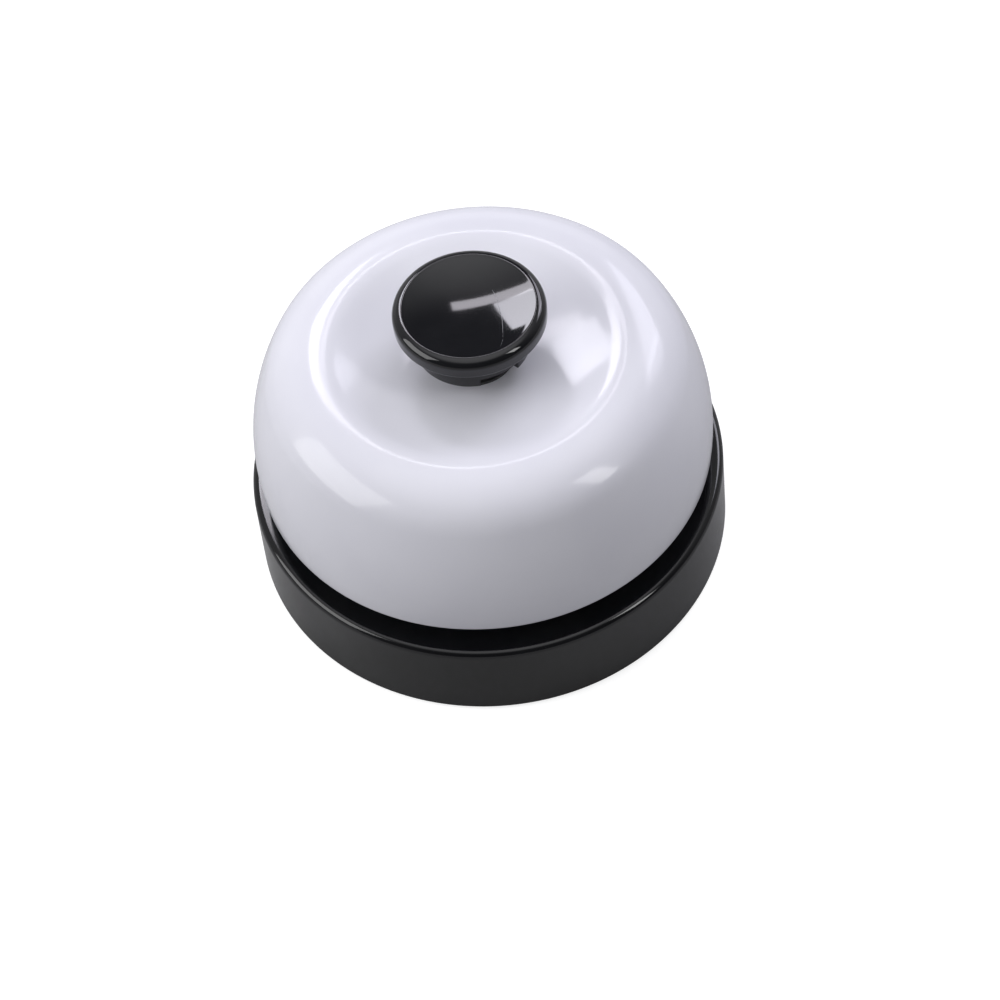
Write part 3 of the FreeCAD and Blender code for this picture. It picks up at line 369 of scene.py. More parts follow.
    def surface(self, colour, rough, normal=None, **others):
        """Ends the graph with a Principled surface."""
        shader = self.add("ShaderNodeBsdfPrincipled")
        settings = {"Base Color": colour, "Roughness": rough, **others}
        if normal is not None:
            settings["Normal"] = normal
        for name, value in settings.items():
            self.feed(shader.inputs[name], value)
        output = self.add("ShaderNodeOutputMaterial")
        self.tree.links.new(shader.outputs[0], output.inputs["Surface"])
        return self.material


def tone(red, green=None, blue=None):
    """A colour with full cover; one number gives a grey."""
    return (red, red if green is None else green, red if blue is None else blue, 1.0)


# ---------------------------------------------------------------- materials, one for each slot

def white_enamel():
    """Stoved white enamel: orange peel, a few nibs of dust under the coat, a cool tint."""
    graph = Graph("white_enamel")
    drift = graph.noise(22 * MM, 3.0)
    drift = graph.spread(drift, 0.3, 0.7)
    colour = graph.mix(drift, tone(0.735, 0.735, 0.805), tone(0.765, 0.765, 0.83))
    nibs = graph.specks(5 * MM, 0.10, 0.10 * MM)
    peel = graph.noise(1.9 * MM, 2.0)
    grain = graph.noise(0.5 * MM, 1.0)
    normal = graph.bump(peel, 0.0035 * MM)
    normal = graph.bump(grain, 0.0008 * MM, normal)
    normal = graph.bump(nibs, 0.006 * MM, normal)
    rough = graph.spread(graph.noise(9 * MM, 4.0, 0.6), 0.3, 0.7, 0.19, 0.23)
    shine = {"Specular IOR Level": 0.18, "Coat Weight": 0.4, "Coat Roughness": 0.08}
    return graph.surface(colour, rough, normal, **shine)


def gloss_black(name, shade, smoothness, lines=None):
    """Glossy black moulded plastic with dust, faint swirls, slight flow unevenness and,
    where they are given, scratches."""
    graph = Graph(name)
    swirls = graph.hairlines(16 * MM, (0.1, 0.2, 0.5), 0.04, seed=0.37)
    scratches = lines(graph) if lines else graph.hairlines(26 * MM, (0.3, 0.1, 2.0), 0.02, seed=1.3)
    dust = graph.specks(3.6 * MM, 0.07, 0.06 * MM)
    bloom = graph.spread(graph.noise(14 * MM, 4.0, 0.6), 0.35, 0.75)
    marks = graph.calc("ADD", graph.calc("MULTIPLY", scratches, 0.16), graph.calc("MULTIPLY", dust, 0.5))
    marks = graph.calc("ADD", marks, graph.calc("MULTIPLY", bloom, 0.012))
    colour = graph.mix(marks, tone(shade, shade * 1.04, shade * 1.25), tone(0.32, 0.32, 0.34))
    rough = graph.spread(bloom, 0, 1, smoothness, smoothness * 1.5)
    worn = graph.calc("ADD", graph.calc("MULTIPLY", swirls, 0.2), graph.calc("ADD", scratches, dust))
    rough = graph.calc("ADD", rough, graph.calc("MULTIPLY", worn, 0.2))
    normal = graph.bump(graph.noise(7 * MM, 1.0), 0.003 * MM)
    normal = graph.bump(graph.noise(0.35 * MM, 2.0), 0.0003 * MM, normal)
    normal = graph.bump(scratches, -0.001 * MM, normal)
    normal = graph.bump(dust, 0.008 * MM, normal)
    return graph.surface(colour, rough, normal, **{"IOR": 1.5})


HAIRLINE_CENTRE = (-19.6 * MM, -3.4 * MM)
HAIRLINE_RADIUS = 24.7 * MM
HAIRLINE_WIDTH = 0.05 * MM
HAIRLINE_FRONT = -9.8 * MM
HAIRLINE_BACK = 3.8 * MM


def black_plastic():
    """The base's black plastic."""
    return gloss_black("black_plastic", 0.005, 0.085)


def long_hairline(graph):
    """1 on the one long, slightly curved hairline across the button's top."""
    place = graph.add("ShaderNodeSeparateXYZ")
    graph.feed(place.inputs[0], graph.place)
    radius = graph.distance(place.outputs[0], place.outputs[1], HAIRLINE_CENTRE)
    wander = graph.calc("MULTIPLY", graph.calc("SUBTRACT", graph.noise(3 * MM), 0.5), 0.5 * MM)
    off = graph.calc("ABSOLUTE", graph.calc("SUBTRACT", graph.calc("ADD", radius, wander), HAIRLINE_RADIUS))
    line = graph.spread(off, 0.25 * HAIRLINE_WIDTH, HAIRLINE_WIDTH, 1, 0)
    front = graph.spread(place.outputs[1], HAIRLINE_FRONT, HAIRLINE_FRONT + 1 * MM)
    back = graph.spread(place.outputs[1], HAIRLINE_BACK - 1 * MM, HAIRLINE_BACK, 1, 0)
    broken = graph.spread(graph.noise(1.2 * MM, 2.0), 0.35, 0.5)
    return graph.calc("MULTIPLY", graph.calc("MULTIPLY", line, broken), graph.calc("MULTIPLY", front, back))


def button_plastic():
    """The button's black plastic, polished by fingers."""
    return gloss_black("button_plastic", 0.008, 0.05, long_hairline)


def plated_metal(name, colour, rough, grain=0.25 * MM, stretch=(1, 1, 1), stain=0.35, edge=0.12 * MM):
    """Plated metal: rolling or tumbling grain, dull patches and worn-round edges."""
    graph = Graph(name)
    fine = graph.noise(grain, 3.0, 0.6, place=graph.mapped(scale=stretch))
    patches = graph.spread(graph.noise(6 * MM, 4.0, 0.65), 0.35, 0.7)
    darker = tuple(part * (1 - stain) for part in colour[:3]) + (1.0,)
    share = graph.calc("MULTIPLY", patches, 0.6)
    share = graph.calc("ADD", share, graph.calc("MULTIPLY", fine, 0.25))
    surface_colour = graph.mix(share, colour, darker)
    unevenness = graph.calc("MULTIPLY", patches, 0.14)
    unevenness = graph.calc("ADD", unevenness, graph.calc("MULTIPLY", fine, 0.12))
    normal = graph.bump(fine, 0.0025 * MM, graph.bevel(edge))
    scratches = graph.hairlines(14 * MM, (0.2, 0.4, 1.1), 0.15, seed=0.7)
    normal = graph.bump(scratches, -0.004 * MM, normal)
    return graph.surface(surface_colour, graph.calc("ADD", unevenness, rough), normal, **{"Metallic": 1.0})


def zinc_steel():
    """Bright zinc on rolled sheet steel, with a bluish cast."""
    return plated_metal("zinc_steel", tone(0.60, 0.62, 0.66), 0.24, 0.3 * MM, (1, 0.12, 1))


def screw_steel():
    """Yellowish zinc on the screws."""
    return plated_metal("screw_steel", tone(0.60, 0.56, 0.44), 0.26, 0.12 * MM)


def plated_nut():
    """Nickel plate on the nuts."""
    return plated_metal("plated_nut", tone(0.66, 0.65, 0.62), 0.20, 0.2 * MM)


def spring_steel():
    """Drawn and oiled spring wire."""
    return plated_metal("spring_steel", tone(0.36, 0.36, 0.38), 0.28, 0.08 * MM, (1, 1, 1), 0.5, 0.04 * MM)


def turned_steel():
    """Turned steel, with the tool's rings round it."""
    graph = Graph("turned_steel")
    rings = graph.rings(0.09 * MM)
    stains = graph.spread(graph.noise(5 * MM, 4.0, 0.6), 0.4, 0.7)
    colour = graph.mix(stains, tone(0.62, 0.61, 0.60), tone(0.40, 0.38, 0.36))
    rough = graph.calc("ADD", graph.calc("MULTIPLY", rings, 0.14), graph.calc("MULTIPLY", stains, 0.10))
    normal = graph.bump(rings, 0.004 * MM)
    return graph.surface(colour, graph.calc("ADD", rough, 0.16), normal, **{"Metallic": 1.0})


def hammer_brass():
    """Turned brass with the tool's rings, tarnished in random patches."""
    graph = Graph("hammer_brass")
    rings = graph.rings(0.12 * MM, centre=(hammer_station, 0))
    tarnish = graph.spread(graph.noise(2.5 * MM, 4.0, 0.6), 0.35, 0.75)
    colour = graph.mix(tarnish, tone(0.80, 0.60, 0.27), tone(0.42, 0.26, 0.10))
    rough = graph.calc("ADD", graph.calc("MULTIPLY", rings, 0.15), graph.calc("MULTIPLY", tarnish, 0.2))
    normal = graph.bump(rings, 0.004 * MM)
    return graph.surface(colour, graph.calc("ADD", rough, 0.15), normal, **{"Metallic": 1.0})


def washer_nylon():
    """Black nylon, with a fine moulded grain and greyer patches where it has been handled."""
    graph = Graph("washer_nylon")
    cloud = graph.noise(3 * MM, 3.0)
    colour = graph.mix(graph.spread(cloud, 0.35, 0.7), tone(0.022, 0.022, 0.024), tone(0.04))
    normal = graph.bump(graph.noise(0.15 * MM, 2.0), 0.003 * MM, graph.bevel(0.08 * MM))
    return graph.surface(colour, graph.spread(cloud, 0.3, 0.7, 0.38, 0.5), normal)


def black_rubber():
    """Matt rubber with a pebbled face and pale dust in its grain."""
    graph = Graph("black_rubber")
    pebble = graph.noise(0.35 * MM, 3.0, 0.6)
    dust = graph.spread(graph.noise(1.5 * MM, 5.0, 0.7), 0.5, 0.8)
    colour = graph.mix(dust, tone(0.018), tone(0.075, 0.07, 0.065))
    normal = graph.bump(pebble, 0.03 * MM)
    return graph.surface(colour, graph.spread(pebble, 0.3, 0.7, 0.62, 0.85), normal)


MATERIAL_MAKERS = {
    "white_enamel": white_enamel,
    "black_plastic": black_plastic,
    "button_plastic": button_plastic,
    "zinc_steel": zinc_steel,
    "screw_steel": screw_steel,
    "plated_nut": plated_nut,
    "spring_steel": spring_steel,
    "turned_steel": turned_steel,
    "hammer_brass": hammer_brass,
    "washer_nylon": washer_nylon,
    "black_rubber": black_rubber,
}
made_materials = {}


def material_for(slot):
    """The material of a slot, made the first time it is wanted."""
    if slot not in made_materials:
        made_materials[slot] = MATERIAL_MAKERS[slot]()
    return made_materials[slot]


# ---------------------------------------------------------------- gong

GONG_SHEET = 0.9 * MM
GONG_SEAT = 8.0 * MM
GONG_RIDGE_RADIUS = 26.09 * MM
GONG_RIDGE = 12.0 * MM
GONG_BREAK = math.radians(50)
GONG_SHOULDER = 8.4 * MM
GONG_SIDE = 37.5 * MM
GONG_LEAN = math.radians(27.2)
GONG_TUCK = math.radians(4.8)
GONG_HOLE = 3.6 * MM
GONG_STEP = math.radians(0.75)
GONG_SEGMENTS = 240


def beside(centre, radius, next_radius, angle):
    """The centre of the arc that is tangent, at an angle, to an arc round another centre."""
    return polar(centre, radius - next_radius, angle)


def gong_skin(depth):
    """The gong's section from its seat to its rim, at a depth below the outside."""
    ridge_height = top_of("gong_dome")
    slope = 2 * math.atan2(ridge_height - gong_crown, GONG_RIDGE_RADIUS - GONG_SEAT)
    dish = (GONG_RIDGE_RADIUS - GONG_SEAT) / math.sin(slope) - GONG_RIDGE
    ridge = (GONG_RIDGE_RADIUS, ridge_height - GONG_RIDGE)
    shoulder = beside(ridge, GONG_RIDGE, GONG_SHOULDER, GONG_BREAK)
    side = beside(shoulder, GONG_SHOULDER, GONG_SIDE, GONG_LEAN)
    dish_centre = (GONG_SEAT, gong_crown + dish)
    skin = arc(dish_centre, dish + depth, -RIGHT_ANGLE, slope - RIGHT_ANGLE, GONG_STEP)
    skin += arc(ridge, GONG_RIDGE - depth, RIGHT_ANGLE + slope, GONG_BREAK, GONG_STEP)[1:]
    skin += arc(shoulder, GONG_SHOULDER - depth, GONG_BREAK, GONG_LEAN, GONG_STEP)[1:]
    skin += arc(side, GONG_SIDE - depth, GONG_LEAN, -GONG_TUCK, GONG_STEP)[1:]
    return skin


def gong_dome():
    """The pressed gong, with a rolled lip at its rim."""
    outside = gong_skin(0)
    inside = gong_skin(GONG_SHEET)
    lip_centre = Vector([(a + b) / 2 for a, b in zip(outside[-1], inside[-1])])
    lip = arc(lip_centre, GONG_SHEET / 2, -GONG_TUCK, -GONG_TUCK - math.pi, LIP_STEP)[1:-1]
    outline = [(GONG_HOLE, gong_crown)] + outside + lip + inside[::-1]
    outline.append((GONG_HOLE, gong_crown - GONG_SHEET))
    return stand_in(lathe("gong_shell", outline, GONG_SEGMENTS), "gong_dome")


# ---------------------------------------------------------------- base

BASE_DRAFT = 0.6 * MM
BASE_EDGE = 1.2 * MM
BASE_FOOT_EDGE = 0.5 * MM
DECK_WALL = 2.0 * MM
PLATE_POCKET = 40.1 * MM
PLATE_SEAT = 3.6 * MM
LEDGE_RADIUS = 38.6 * MM
LEDGE_RISE = 2.4 * MM
WALL_RADIUS = 39.6 * MM
INNER_FILLET = 1.0 * MM
BOSS_RADIUS = 3.2 * MM
CORE_RADIUS = 1.25 * MM
BRACKET_SCREW_SPOTS = ((2.5 * MM, 16 * MM), (2.5 * MM, -16 * MM))
BRACKET_BOSS_DEPTH = 10.0 * MM
RIB_START = 6.0 * MM
RIB_DEPTH = 4.0 * MM
RIB_THICKNESS = 1.5 * MM
RIBS = 6
PLATE_SCREW_CIRCLE = 31.0 * MM
PLATE_SCREW_START = 90
FOOT_START = -90
FEET = 3
FOOT_HOLLOW = 0.25 * MM
FOOT_HOLLOW_SHARE = 0.55
FOOT_RIB_SHARE = 0.62
FOOT_EDGE = 0.4 * MM
FOOT_ROUND = 0.12 * MM
FOOT_SEGMENTS = 64
HOUSING_SEGMENTS = 288
BOSS_SEGMENTS = 40
BOSS_ROUND = 0.15 * MM
SHARP_INSIDE = 0.1 * MM
FOOT_INNER_EDGE = 0.15 * MM


def ring_of_spots(start):
    """The places of three screws or feet, from a starting angle in degrees."""
    return [polar((0, 0), PLATE_SCREW_CIRCLE, math.radians(start) + FULL_TURN * number / FEET)
            for number in range(FEET)]


def base_housing():
    """The moulded drum of the base, with its ledge, screw bosses and ribs inside."""
    radius = reach_of("base_housing")
    foot = foot_of("base_housing")
    underside = deck_top - DECK_WALL
    into_deck = underside + DECK_WALL / 2
    outline = soften([
        (0, deck_top),
        (radius - BASE_DRAFT, deck_top, BASE_EDGE),
        (radius, foot, BASE_FOOT_EDGE),
        (PLATE_POCKET, foot, FOOT_INNER_EDGE),
        (PLATE_POCKET, PLATE_SEAT, SHARP_INSIDE),
        (LEDGE_RADIUS, PLATE_SEAT, SHARP_INSIDE),
        (LEDGE_RADIUS, PLATE_SEAT + LEDGE_RISE, SHARP_INSIDE),
        (WALL_RADIUS, PLATE_SEAT + LEDGE_RISE + INNER_FILLET, SHARP_INSIDE),
        (WALL_RADIUS, underside, INNER_FILLET),
        (0, underside),
    ], 0, steps=10)
    work = bmesh.new()
    add_lathe(work, outline, HOUSING_SEGMENTS)
    bosses = [(spot, PLATE_SEAT) for spot in ring_of_spots(PLATE_SCREW_START)]
    bosses += [(spot, deck_top - BRACKET_BOSS_DEPTH) for spot in BRACKET_SCREW_SPOTS]
    for spot, low in bosses:
        boss = soften([(CORE_RADIUS, low), (BOSS_RADIUS, low), (BOSS_RADIUS, into_deck),
                       (CORE_RADIUS, into_deck)], BOSS_ROUND)
        add_lathe(work, boss, BOSS_SEGMENTS, spot)
    for number in range(RIBS):
        low = (RIB_START, -RIB_THICKNESS / 2, underside - RIB_DEPTH)
        high = (WALL_RADIUS + RIB_THICKNESS / 2, RIB_THICKNESS / 2, into_deck)
        add_block(work, low, high, FULL_TURN * number / RIBS)
    return stand_in(finish_mesh("base_shell", work), "base_housing")


def foot_pads():
    """The rubber feet, with a moulded rib round a slightly sunk middle."""
    low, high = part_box("foot_pads")
    radius = low.y * -1 - PLATE_SCREW_CIRCLE
    outline = soften([
        (0, FOOT_HOLLOW),
        (radius * FOOT_HOLLOW_SHARE, FOOT_HOLLOW),
        (radius * FOOT_RIB_SHARE, 0),
        (radius, 0, FOOT_EDGE),
        (radius, high.z),
        (0, high.z),
    ], FOOT_ROUND)
    work = bmesh.new()
    for spot in ring_of_spots(FOOT_START):
        add_lathe(work, outline, FOOT_SEGMENTS, spot)
    return stand_in(finish_mesh("rubber_feet", work), "foot_pads")


# ---------------------------------------------------------------- button

CAP_EDGE = 1.6 * MM
CAP_LOW_EDGE = 0.4 * MM
CAP_DIP = 1.0 * MM
SKIRT_RADIUS = 9.8 * MM
SKIRT_WALL = 1.5 * MM
SKIRT_ROUND = 0.3 * MM
CAP_BOSS = 3.6 * MM
CAP_BOSS_DROP = 1.9 * MM
ROD_RADIUS = 2.0 * MM
NOTCH_RISE = 1.7 * MM
NOTCH_START = math.radians(272.5)
NOTCH_END = math.radians(315)
NOTCHES = 3
BUTTON_SEGMENTS = 288
DISH_STEP = math.radians(0.5)
EDGE_STEP = math.radians(6)
JOIN_STEP = math.radians(18)


def button_cap():
    """The button: a dished disc with an upright edge, and a skirt with notches."""
    radius = reach_of("button_cap")
    edge_height = top_of("button_cap") - CAP_EDGE
    rim = radius - CAP_EDGE
    dish_height = (rim * rim - CAP_DIP * CAP_DIP) / (2 * CAP_DIP)
    dish = dish_height - CAP_EDGE + CAP_DIP
    lean = math.atan2(rim, dish_height)
    foot = foot_of("button_cap")
    socket = top_of("plunger_rod")
    inside = SKIRT_RADIUS - SKIRT_WALL
    lower = cap_underside
    low_edge = (radius - CAP_LOW_EDGE, lower + CAP_LOW_EDGE)
    dish_centre = (0, edge_height + dish_height)
    outline = arc(dish_centre, dish, -RIGHT_ANGLE, lean - RIGHT_ANGLE, DISH_STEP)
    outline += arc((rim, edge_height), CAP_EDGE, lean + RIGHT_ANGLE, 0, EDGE_STEP)[1:]
    outline += arc(low_edge, CAP_LOW_EDGE, 0, -RIGHT_ANGLE, EDGE_STEP)
    skirt_join = (SKIRT_RADIUS + SKIRT_ROUND, lower - SKIRT_ROUND)
    outline += arc(skirt_join, SKIRT_ROUND, RIGHT_ANGLE, math.pi, JOIN_STEP)
    outer_top = len(outline)
    notch_top = foot + NOTCH_RISE
    outer_lip = (SKIRT_RADIUS - SKIRT_ROUND, foot + SKIRT_ROUND)
    inner_lip = (inside + SKIRT_ROUND, foot + SKIRT_ROUND)
    outline.append((SKIRT_RADIUS, notch_top))
    outline += arc(outer_lip, SKIRT_ROUND, 0, -RIGHT_ANGLE, LIP_STEP)
    outline += arc(inner_lip, SKIRT_ROUND, -RIGHT_ANGLE, -math.pi, LIP_STEP)
    inner_top = len(outline)
    outline += [
        (inside, notch_top),
        (inside, lower),
        (CAP_BOSS, lower),
        (CAP_BOSS, lower - CAP_BOSS_DROP),
        (ROD_RADIUS, lower - CAP_BOSS_DROP),
        (ROD_RADIUS, socket),
        (0, socket),
    ]
    work = bmesh.new()
    rings = add_lathe(work, outline, BUTTON_SEGMENTS)
    cut_notches(work, rings, outer_top, inner_top)
    return stand_in(finish_mesh("button", work), "button_cap")


def cut_notches(work, rings, outer_top, inner_top):
    """Takes the notches out of the skirt: the faces below the notch's top go, and a roof
    and two ends close the gap."""
    segments = len(rings[outer_top])
    step = FULL_TURN / segments
    for number in range(NOTCHES):
        turned = FULL_TURN * number / NOTCHES
        first = round((NOTCH_START + turned) / step)
        last = round((NOTCH_END + turned) / step)
        doomed = set()
        for column in range(first, last):
            here, following = column % segments, (column + 1) % segments
            for low, high in zip(rings[outer_top:inner_top], rings[outer_top + 1:inner_top + 1]):
                corners = {low[here], low[following], high[here], high[following]}
                doomed |= {face for face in low[here].link_faces if set(face.verts) <= corners}
        bmesh.ops.delete(work, geom=list(doomed), context="FACES_ONLY")
        for column in range(first, last):
            here, following = column % segments, (column + 1) % segments
            work.faces.new((rings[outer_top][here], rings[outer_top][following],
                            rings[inner_top][following], rings[inner_top][here]))
        for column in (first, last):
            here = column % segments
            work.faces.new([ring[here] for ring in rings[outer_top:inner_top + 1]])
    loose = [vertex for vertex in work.verts if not vertex.link_faces]
    bmesh.ops.delete(work, geom=loose, context="VERTS")


# ---------------------------------------------------------------- turned pieces

POST_BORE = 2.05 * MM
POST_THREAD = 3.5 * MM
POST_BODY = 4.5 * MM
POST_END_CHAMFER = 0.4 * MM
POST_MOUTH = 0.25 * MM
POST_SHOULDER = 0.3 * MM
FLANGE_THICKNESS = 1.2 * MM
BREAK_EDGE = 0.12 * MM
ROD_NECK = 1.5 * MM
ROD_GROOVE = 0.7 * MM
ROD_GROOVE_ROUND = 0.1 * MM
ROD_BREAK = 0.08 * MM
ROD_HEAD_ROUND = 0.4 * MM
ROD_TIP_STEP = math.radians(7.5)
ROD_SEGMENTS = 64
STRIP = 1.2 * MM
HAMMER_DOME = 1.6 * MM
HAMMER_DOME_SHARE = 0.93
HAMMER_FOOT_ROUND = 0.2 * MM
HAMMER_SHOULDER_ROUND = 0.25 * MM
RIVET_RADIUS = 2.4 * MM
RIVET_FOOT_ROUND = 0.45 * MM
RIVET_TOP_ROUND = 0.1 * MM
SHANK_RADIUS = 1.5 * MM
RETURN_WIRE = 0.3 * MM
RETURN_TURNS = 5
RETURN_STEPS = 48
CLOSED_PITCH = 2.05
WIRE_SIDES = 12
TORSION_WIRE = 0.25 * MM
TORSION_COIL = 2.2 * MM
TORSION_PITCH = 0.75 * MM
TORSION_TURNS = 5
TORSION_LOWER = math.radians(-60.4)
TORSION_UPPER = math.radians(82)
TORSION_LOWER_LEG = 15.2 * MM
TORSION_UPPER_LEG = 7.9 * MM
TORSION_STEPS = 200


def centre_post():
    """The hollow post, with its flange on the bracket's bridge."""
    top = top_of("centre_post")
    flange = reach_of("centre_post")
    outline = soften([
        (POST_BORE, post_foot, POST_MOUTH),
        (POST_THREAD, post_foot, POST_END_CHAMFER),
        (POST_THREAD, bridge_top),
        (flange, bridge_top),
        (flange, bridge_top + FLANGE_THICKNESS),
        (POST_BODY, bridge_top + FLANGE_THICKNESS, POST_SHOULDER),
        (POST_BODY, post_seat),
        (POST_THREAD, post_seat),
        (POST_THREAD, top, POST_END_CHAMFER),
        (POST_BORE, top, POST_MOUTH),
    ], BREAK_EDGE)
    return stand_in(lathe("spindle_post", outline), "centre_post")


def plunger_rod():
    """The rod, with its rounded tip and the groove for its clip."""
    low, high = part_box("plunger_rod")
    groove_foot = post_foot - ROD_GROOVE
    tip_centre = (0, low.z + ROD_RADIUS)
    tip = arc(tip_centre, ROD_RADIUS, -RIGHT_ANGLE, 0, ROD_TIP_STEP)
    body = soften([
        (ROD_RADIUS, groove_foot),
        (ROD_NECK, groove_foot, ROD_GROOVE_ROUND),
        (ROD_NECK, post_foot, ROD_GROOVE_ROUND),
        (ROD_RADIUS, post_foot),
        (ROD_RADIUS, high.z, ROD_HEAD_ROUND),
        (0, high.z),
        tip_centre,
    ], ROD_BREAK)[:-1]
    return stand_in(lathe("push_rod", tip + body, ROD_SEGMENTS), "plunger_rod")


def hammer_head():
    """The brass hammer, turned and riveted, with a domed crown."""
    low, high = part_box("hammer_head")
    radius = (high.x - low.x) / 2
    strip_foot = lever_top - STRIP
    shoulder = high.z - HAMMER_DOME
    crown = (radius * radius + HAMMER_DOME * HAMMER_DOME) / (2 * HAMMER_DOME)
    half_angle = math.asin(radius / crown)
    corners = soften([
        (0, low.z),
        (RIVET_RADIUS, low.z, RIVET_FOOT_ROUND),
        (RIVET_RADIUS, strip_foot, RIVET_TOP_ROUND),
        (SHANK_RADIUS, strip_foot),
        (SHANK_RADIUS, lever_top),
        (radius, lever_top, HAMMER_FOOT_ROUND),
        (radius, shoulder, HAMMER_SHOULDER_ROUND),
        (0, high.z),
    ], 0)[:-1]
    start = RIGHT_ANGLE - half_angle * HAMMER_DOME_SHARE
    dome = arc((0, high.z - crown), crown, start, RIGHT_ANGLE)
    slug = lathe("hammer_slug", corners + dome, centre=(hammer_station, 0))
    return stand_in(slug, "hammer_head")


def return_spring():
    """The button's coil spring, with its end coils closed."""
    low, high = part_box("return_spring")
    wire = RETURN_WIRE
    radius = high.x - wire
    start, finish = low.z + wire, high.z - wire
    closed = wire * CLOSED_PITCH
    free = RETURN_TURNS - 2
    path = []
    for index in range(RETURN_TURNS * RETURN_STEPS + 1):
        turned = index / RETURN_STEPS
        climb = closed * min(turned, 1)
        climb += (finish - start - closed * 2) * min(max(turned - 1, 0), free) / free
        climb += closed * max(turned - 1 - free, 0)
        path.append(Vector((*polar((0, 0), radius, FULL_TURN * turned), start + climb)))
    work = bmesh.new()
    add_tube(work, path, wire, WIRE_SIDES)
    spring = stand_in(finish_mesh("button_spring", work, WIRE_CREASE), "return_spring")
    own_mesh(spring)
    return spring


def lever_spring():
    """The lever's spring: coils round the pin, and two straight legs."""
    pin_low, pin_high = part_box("pivot_pin")
    pivot = Vector(((pin_low.x + pin_high.x) / 2, 0, (pin_low.z + pin_high.z) / 2))
    sweep = TORSION_TURNS * FULL_TURN + TORSION_UPPER - TORSION_LOWER
    half_width = TORSION_PITCH * sweep / FULL_TURN / 2

    def spot(angle, leg, level):
        """A point on the coil at an angle, moved along the tangent by a leg's length."""
        x, z = polar((0, 0), TORSION_COIL, angle)
        return pivot + Vector((x - math.sin(angle) * leg, -level, z + math.cos(angle) * leg))

    path = [spot(TORSION_LOWER, -TORSION_LOWER_LEG, -half_width)]
    for index in range(TORSION_STEPS + 1):
        share = index / TORSION_STEPS
        path.append(spot(TORSION_LOWER + sweep * share, 0, half_width * (2 * share - 1)))
    path.append(spot(TORSION_UPPER, TORSION_UPPER_LEG, half_width))
    work = bmesh.new()
    add_tube(work, path, TORSION_WIRE, WIRE_SIDES)
    spring = stand_in(finish_mesh("torsion_spring", work, WIRE_CREASE), "lever_spring")
    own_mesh(spring)
    return spring


# ---------------------------------------------------------------- the whole bell

def build():
    """Makes every piece and gives the CAD nodes that stay their materials."""
    gong_dome()
    base_housing()
    button_cap()
    centre_post()
    foot_pads()
    plunger_rod()
    hammer_head()
    return_spring()
    lever_spring()
    for name, node in frame["nodes"].items():
        if not node.hide_render:
            for place in node.material_slots:
                place.material = material_for(node_slots[name])
                place.link = "DATA"


# ---------------------------------------------------------------- studio

CAMERA_SPOT = Vector((0, -237.2, 329.3)) * MM
CAMERA_TILT = math.radians(54.0)
CAMERA_YAW = math.radians(0.35)
CAMERA_ROLL = math.radians(-6.59)
LENS = 79.36
LIGHT_DISTANCE = 0.7
FLOOR_REACH = 4.0
FLOOR_GLOW = 0.8


def aim(azimuth, elevation):
    """The direction at an azimuth from +Y towards +X and at an elevation, in degrees."""
    turn, rise = math.radians(azimuth), math.radians(elevation)
    return Vector((math.sin(turn) * math.cos(rise), math.cos(turn) * math.cos(rise), math.sin(rise)))


DARK_GAP = aim(4, 36)


def softbox(name, azimuth, elevation, width, height, radiance, tint=(1, 1, 1)):
    """A rectangular soft light that covers width by height degrees as seen from the bell."""
    lamp = bpy.data.lights.new(name, "AREA")
    lamp.shape = "RECTANGLE"
    lamp.size = 2 * LIGHT_DISTANCE * math.tan(math.radians(width / 2))
    lamp.size_y = 2 * LIGHT_DISTANCE * math.tan(math.radians(height / 2))
    lamp.energy = radiance * math.pi * lamp.size * lamp.size_y
    lamp.color = tint
    thing = bpy.data.objects.new(name, lamp)
    bpy.context.scene.collection.objects.link(thing)
    direction = aim(azimuth, elevation)
    thing.location = direction * LIGHT_DISTANCE + Vector((0, 0, deck_top))
    thing.rotation_mode = "QUATERNION"
    thing.rotation_quaternion = direction.to_track_quat("Z", "Y")
    thing.visible_camera = False


def lights():
    """A broad window on the left, two small bright ones behind, and a dim one in front."""
    softbox("window_left", -98, 32, 40, 36, 3.5)
    softbox("window_back_left", -16, 46, 11, 11, 11.5, (0.92, 0.91, 1.0))
    softbox("window_back_left_top", -8, 53, 16, 3, 8.0, (0.95, 0.92, 1.0))
    softbox("window_back_right", 36, 40, 24, 17, 4.5, (0.89, 0.88, 1.0))
    softbox("window_back_right_dim", 53, 38, 12, 18, 3.0, (0.89, 0.88, 1.0))
    softbox("window_front_right", 121, 43, 10, 24, 6.5)


def room_light(graph):
    """How bright the room is in a direction: dark in front, brighter behind and overhead."""
    split = graph.add("ShaderNodeSeparateXYZ")
    graph.feed(split.inputs[0], graph.add("ShaderNodeTexCoord").outputs["Generated"])
    x, y, z = split.outputs
    back = graph.spread(y, -0.4, 0.7, 0.06, 0.5)
    towards_gap = graph.calc("MULTIPLY", x, DARK_GAP.x)
    towards_gap = graph.calc("ADD", towards_gap, graph.calc("MULTIPLY", y, DARK_GAP.y))
    towards_gap = graph.calc("ADD", towards_gap, graph.calc("MULTIPLY", z, DARK_GAP.z))
    back = graph.calc("MULTIPLY", back, graph.spread(towards_gap, 0.93, 0.99, 1.0, 0.1))
    overhead = graph.spread(z, 0.78, 0.98, 0.0, 1.05)
    backdrop = graph.spread(y, 0.5, 0.8, 0.0, 0.3)
    backdrop = graph.calc("MULTIPLY", backdrop, graph.spread(z, 0.3, 0.46, 1.0, 0.0))
    above_front = graph.spread(y, -0.4, -0.1, 0.1, 0.0)
    above_front = graph.calc("MULTIPLY", above_front, graph.spread(z, 0.64, 0.82))
    level = graph.calc("ADD", back, overhead)
    level = graph.calc("ADD", level, backdrop)
    return graph.calc("ADD", level, above_front)


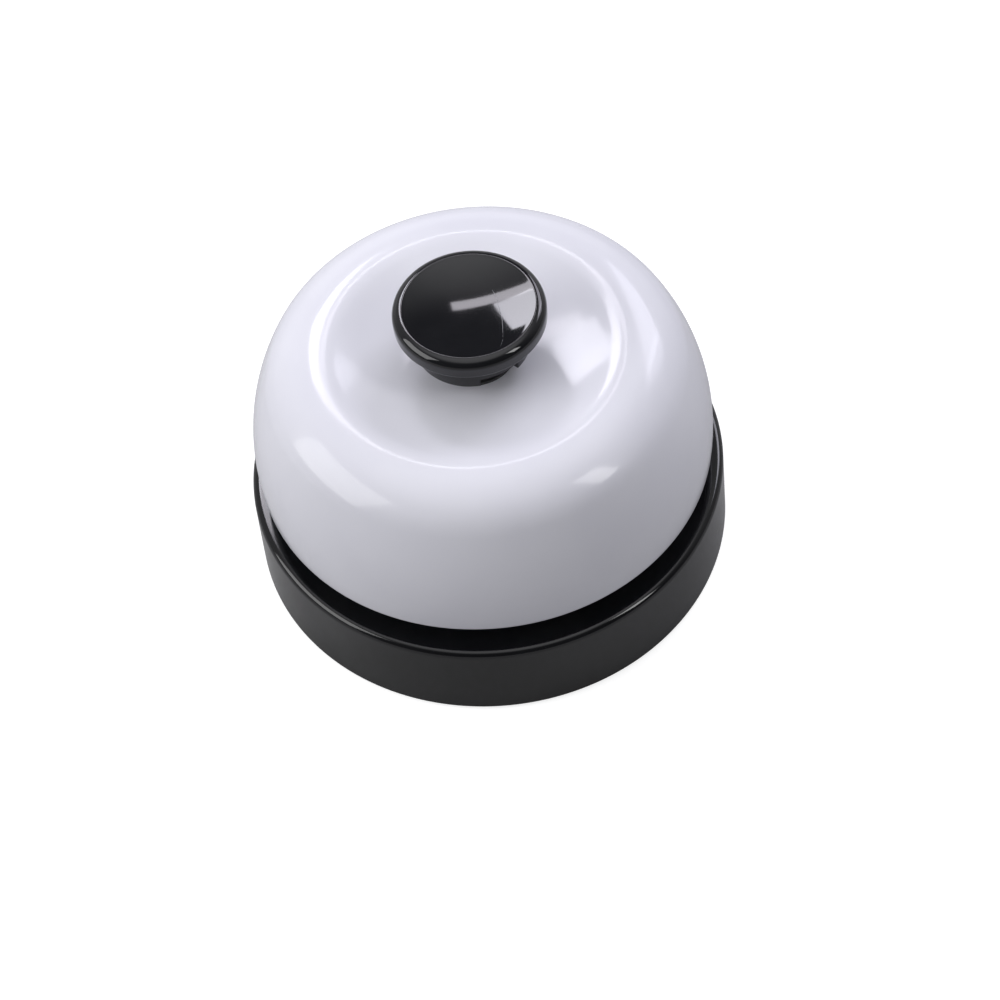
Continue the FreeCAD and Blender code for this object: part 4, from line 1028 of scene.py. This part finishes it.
def world():
    """A studio room: white to the camera, and uneven where it lights the bell."""
    scene_world = bpy.data.worlds.new("room")
    bpy.context.scene.world = scene_world
    scene_world.use_nodes = True
    graph = Graph(tree=scene_world.node_tree)
    seen = graph.add("ShaderNodeBackground")
    felt = graph.add("ShaderNodeBackground")
    felt.inputs["Color"].default_value = tone(0.98, 0.98, 1.0)
    graph.feed(felt.inputs["Strength"], room_light(graph))
    graph.feed(seen.inputs["Color"], tone(1))
    join = graph.add("ShaderNodeMixShader")
    graph.feed(join.inputs[0], graph.add("ShaderNodeLightPath").outputs["Is Camera Ray"])
    graph.feed(join.inputs[1], felt.outputs[0])
    graph.feed(join.inputs[2], seen.outputs[0])
    output = graph.add("ShaderNodeOutputWorld")
    graph.feed(output.inputs["Surface"], join.outputs[0])


def floor():
    """The pale table top, which keeps only a faint shadow."""
    work = bmesh.new()
    corners = ((-1, -1), (1, -1), (1, 1), (-1, 1))
    work.faces.new([work.verts.new((x * FLOOR_REACH, y * FLOOR_REACH, 0)) for x, y in corners])
    table = finish_mesh("table_top", work)
    graph = Graph("table_paper")
    fibre = graph.noise(2 * MM, 3.0)
    colour = graph.mix(graph.spread(fibre, 0.3, 0.7), tone(0.44), tone(0.46, 0.46, 0.465))
    glow = graph.add("ShaderNodeLightPath").outputs["Is Camera Ray"]
    glow = graph.calc("MULTIPLY", glow, FLOOR_GLOW)
    graph.surface(colour, 0.9, **{"Emission Color": tone(1), "Emission Strength": glow})
    table.data.materials.append(graph.material)


def camera():
    """Looks down at the bell from the front, turned a little about its own axis."""
    lens = bpy.data.cameras.new("camera")
    lens.lens = LENS
    lens.clip_start = 10 * MM
    thing = bpy.data.objects.new("camera", lens)
    bpy.context.scene.collection.objects.link(thing)
    thing.location = CAMERA_SPOT
    level = Matrix.Rotation(-CAMERA_YAW, 3, "Z")
    tilt = Matrix.Rotation(RIGHT_ANGLE - CAMERA_TILT, 3, "X")
    roll = Matrix.Rotation(CAMERA_ROLL, 3, "Z")
    thing.rotation_mode = "QUATERNION"
    thing.rotation_quaternion = (level @ tilt @ roll).to_quaternion()
    bpy.context.scene.camera = thing


build()
lights()
world()
floor()
camera()
bpy.context.scene.view_settings.view_transform = "Standard"
bpy.context.view_layer.update()
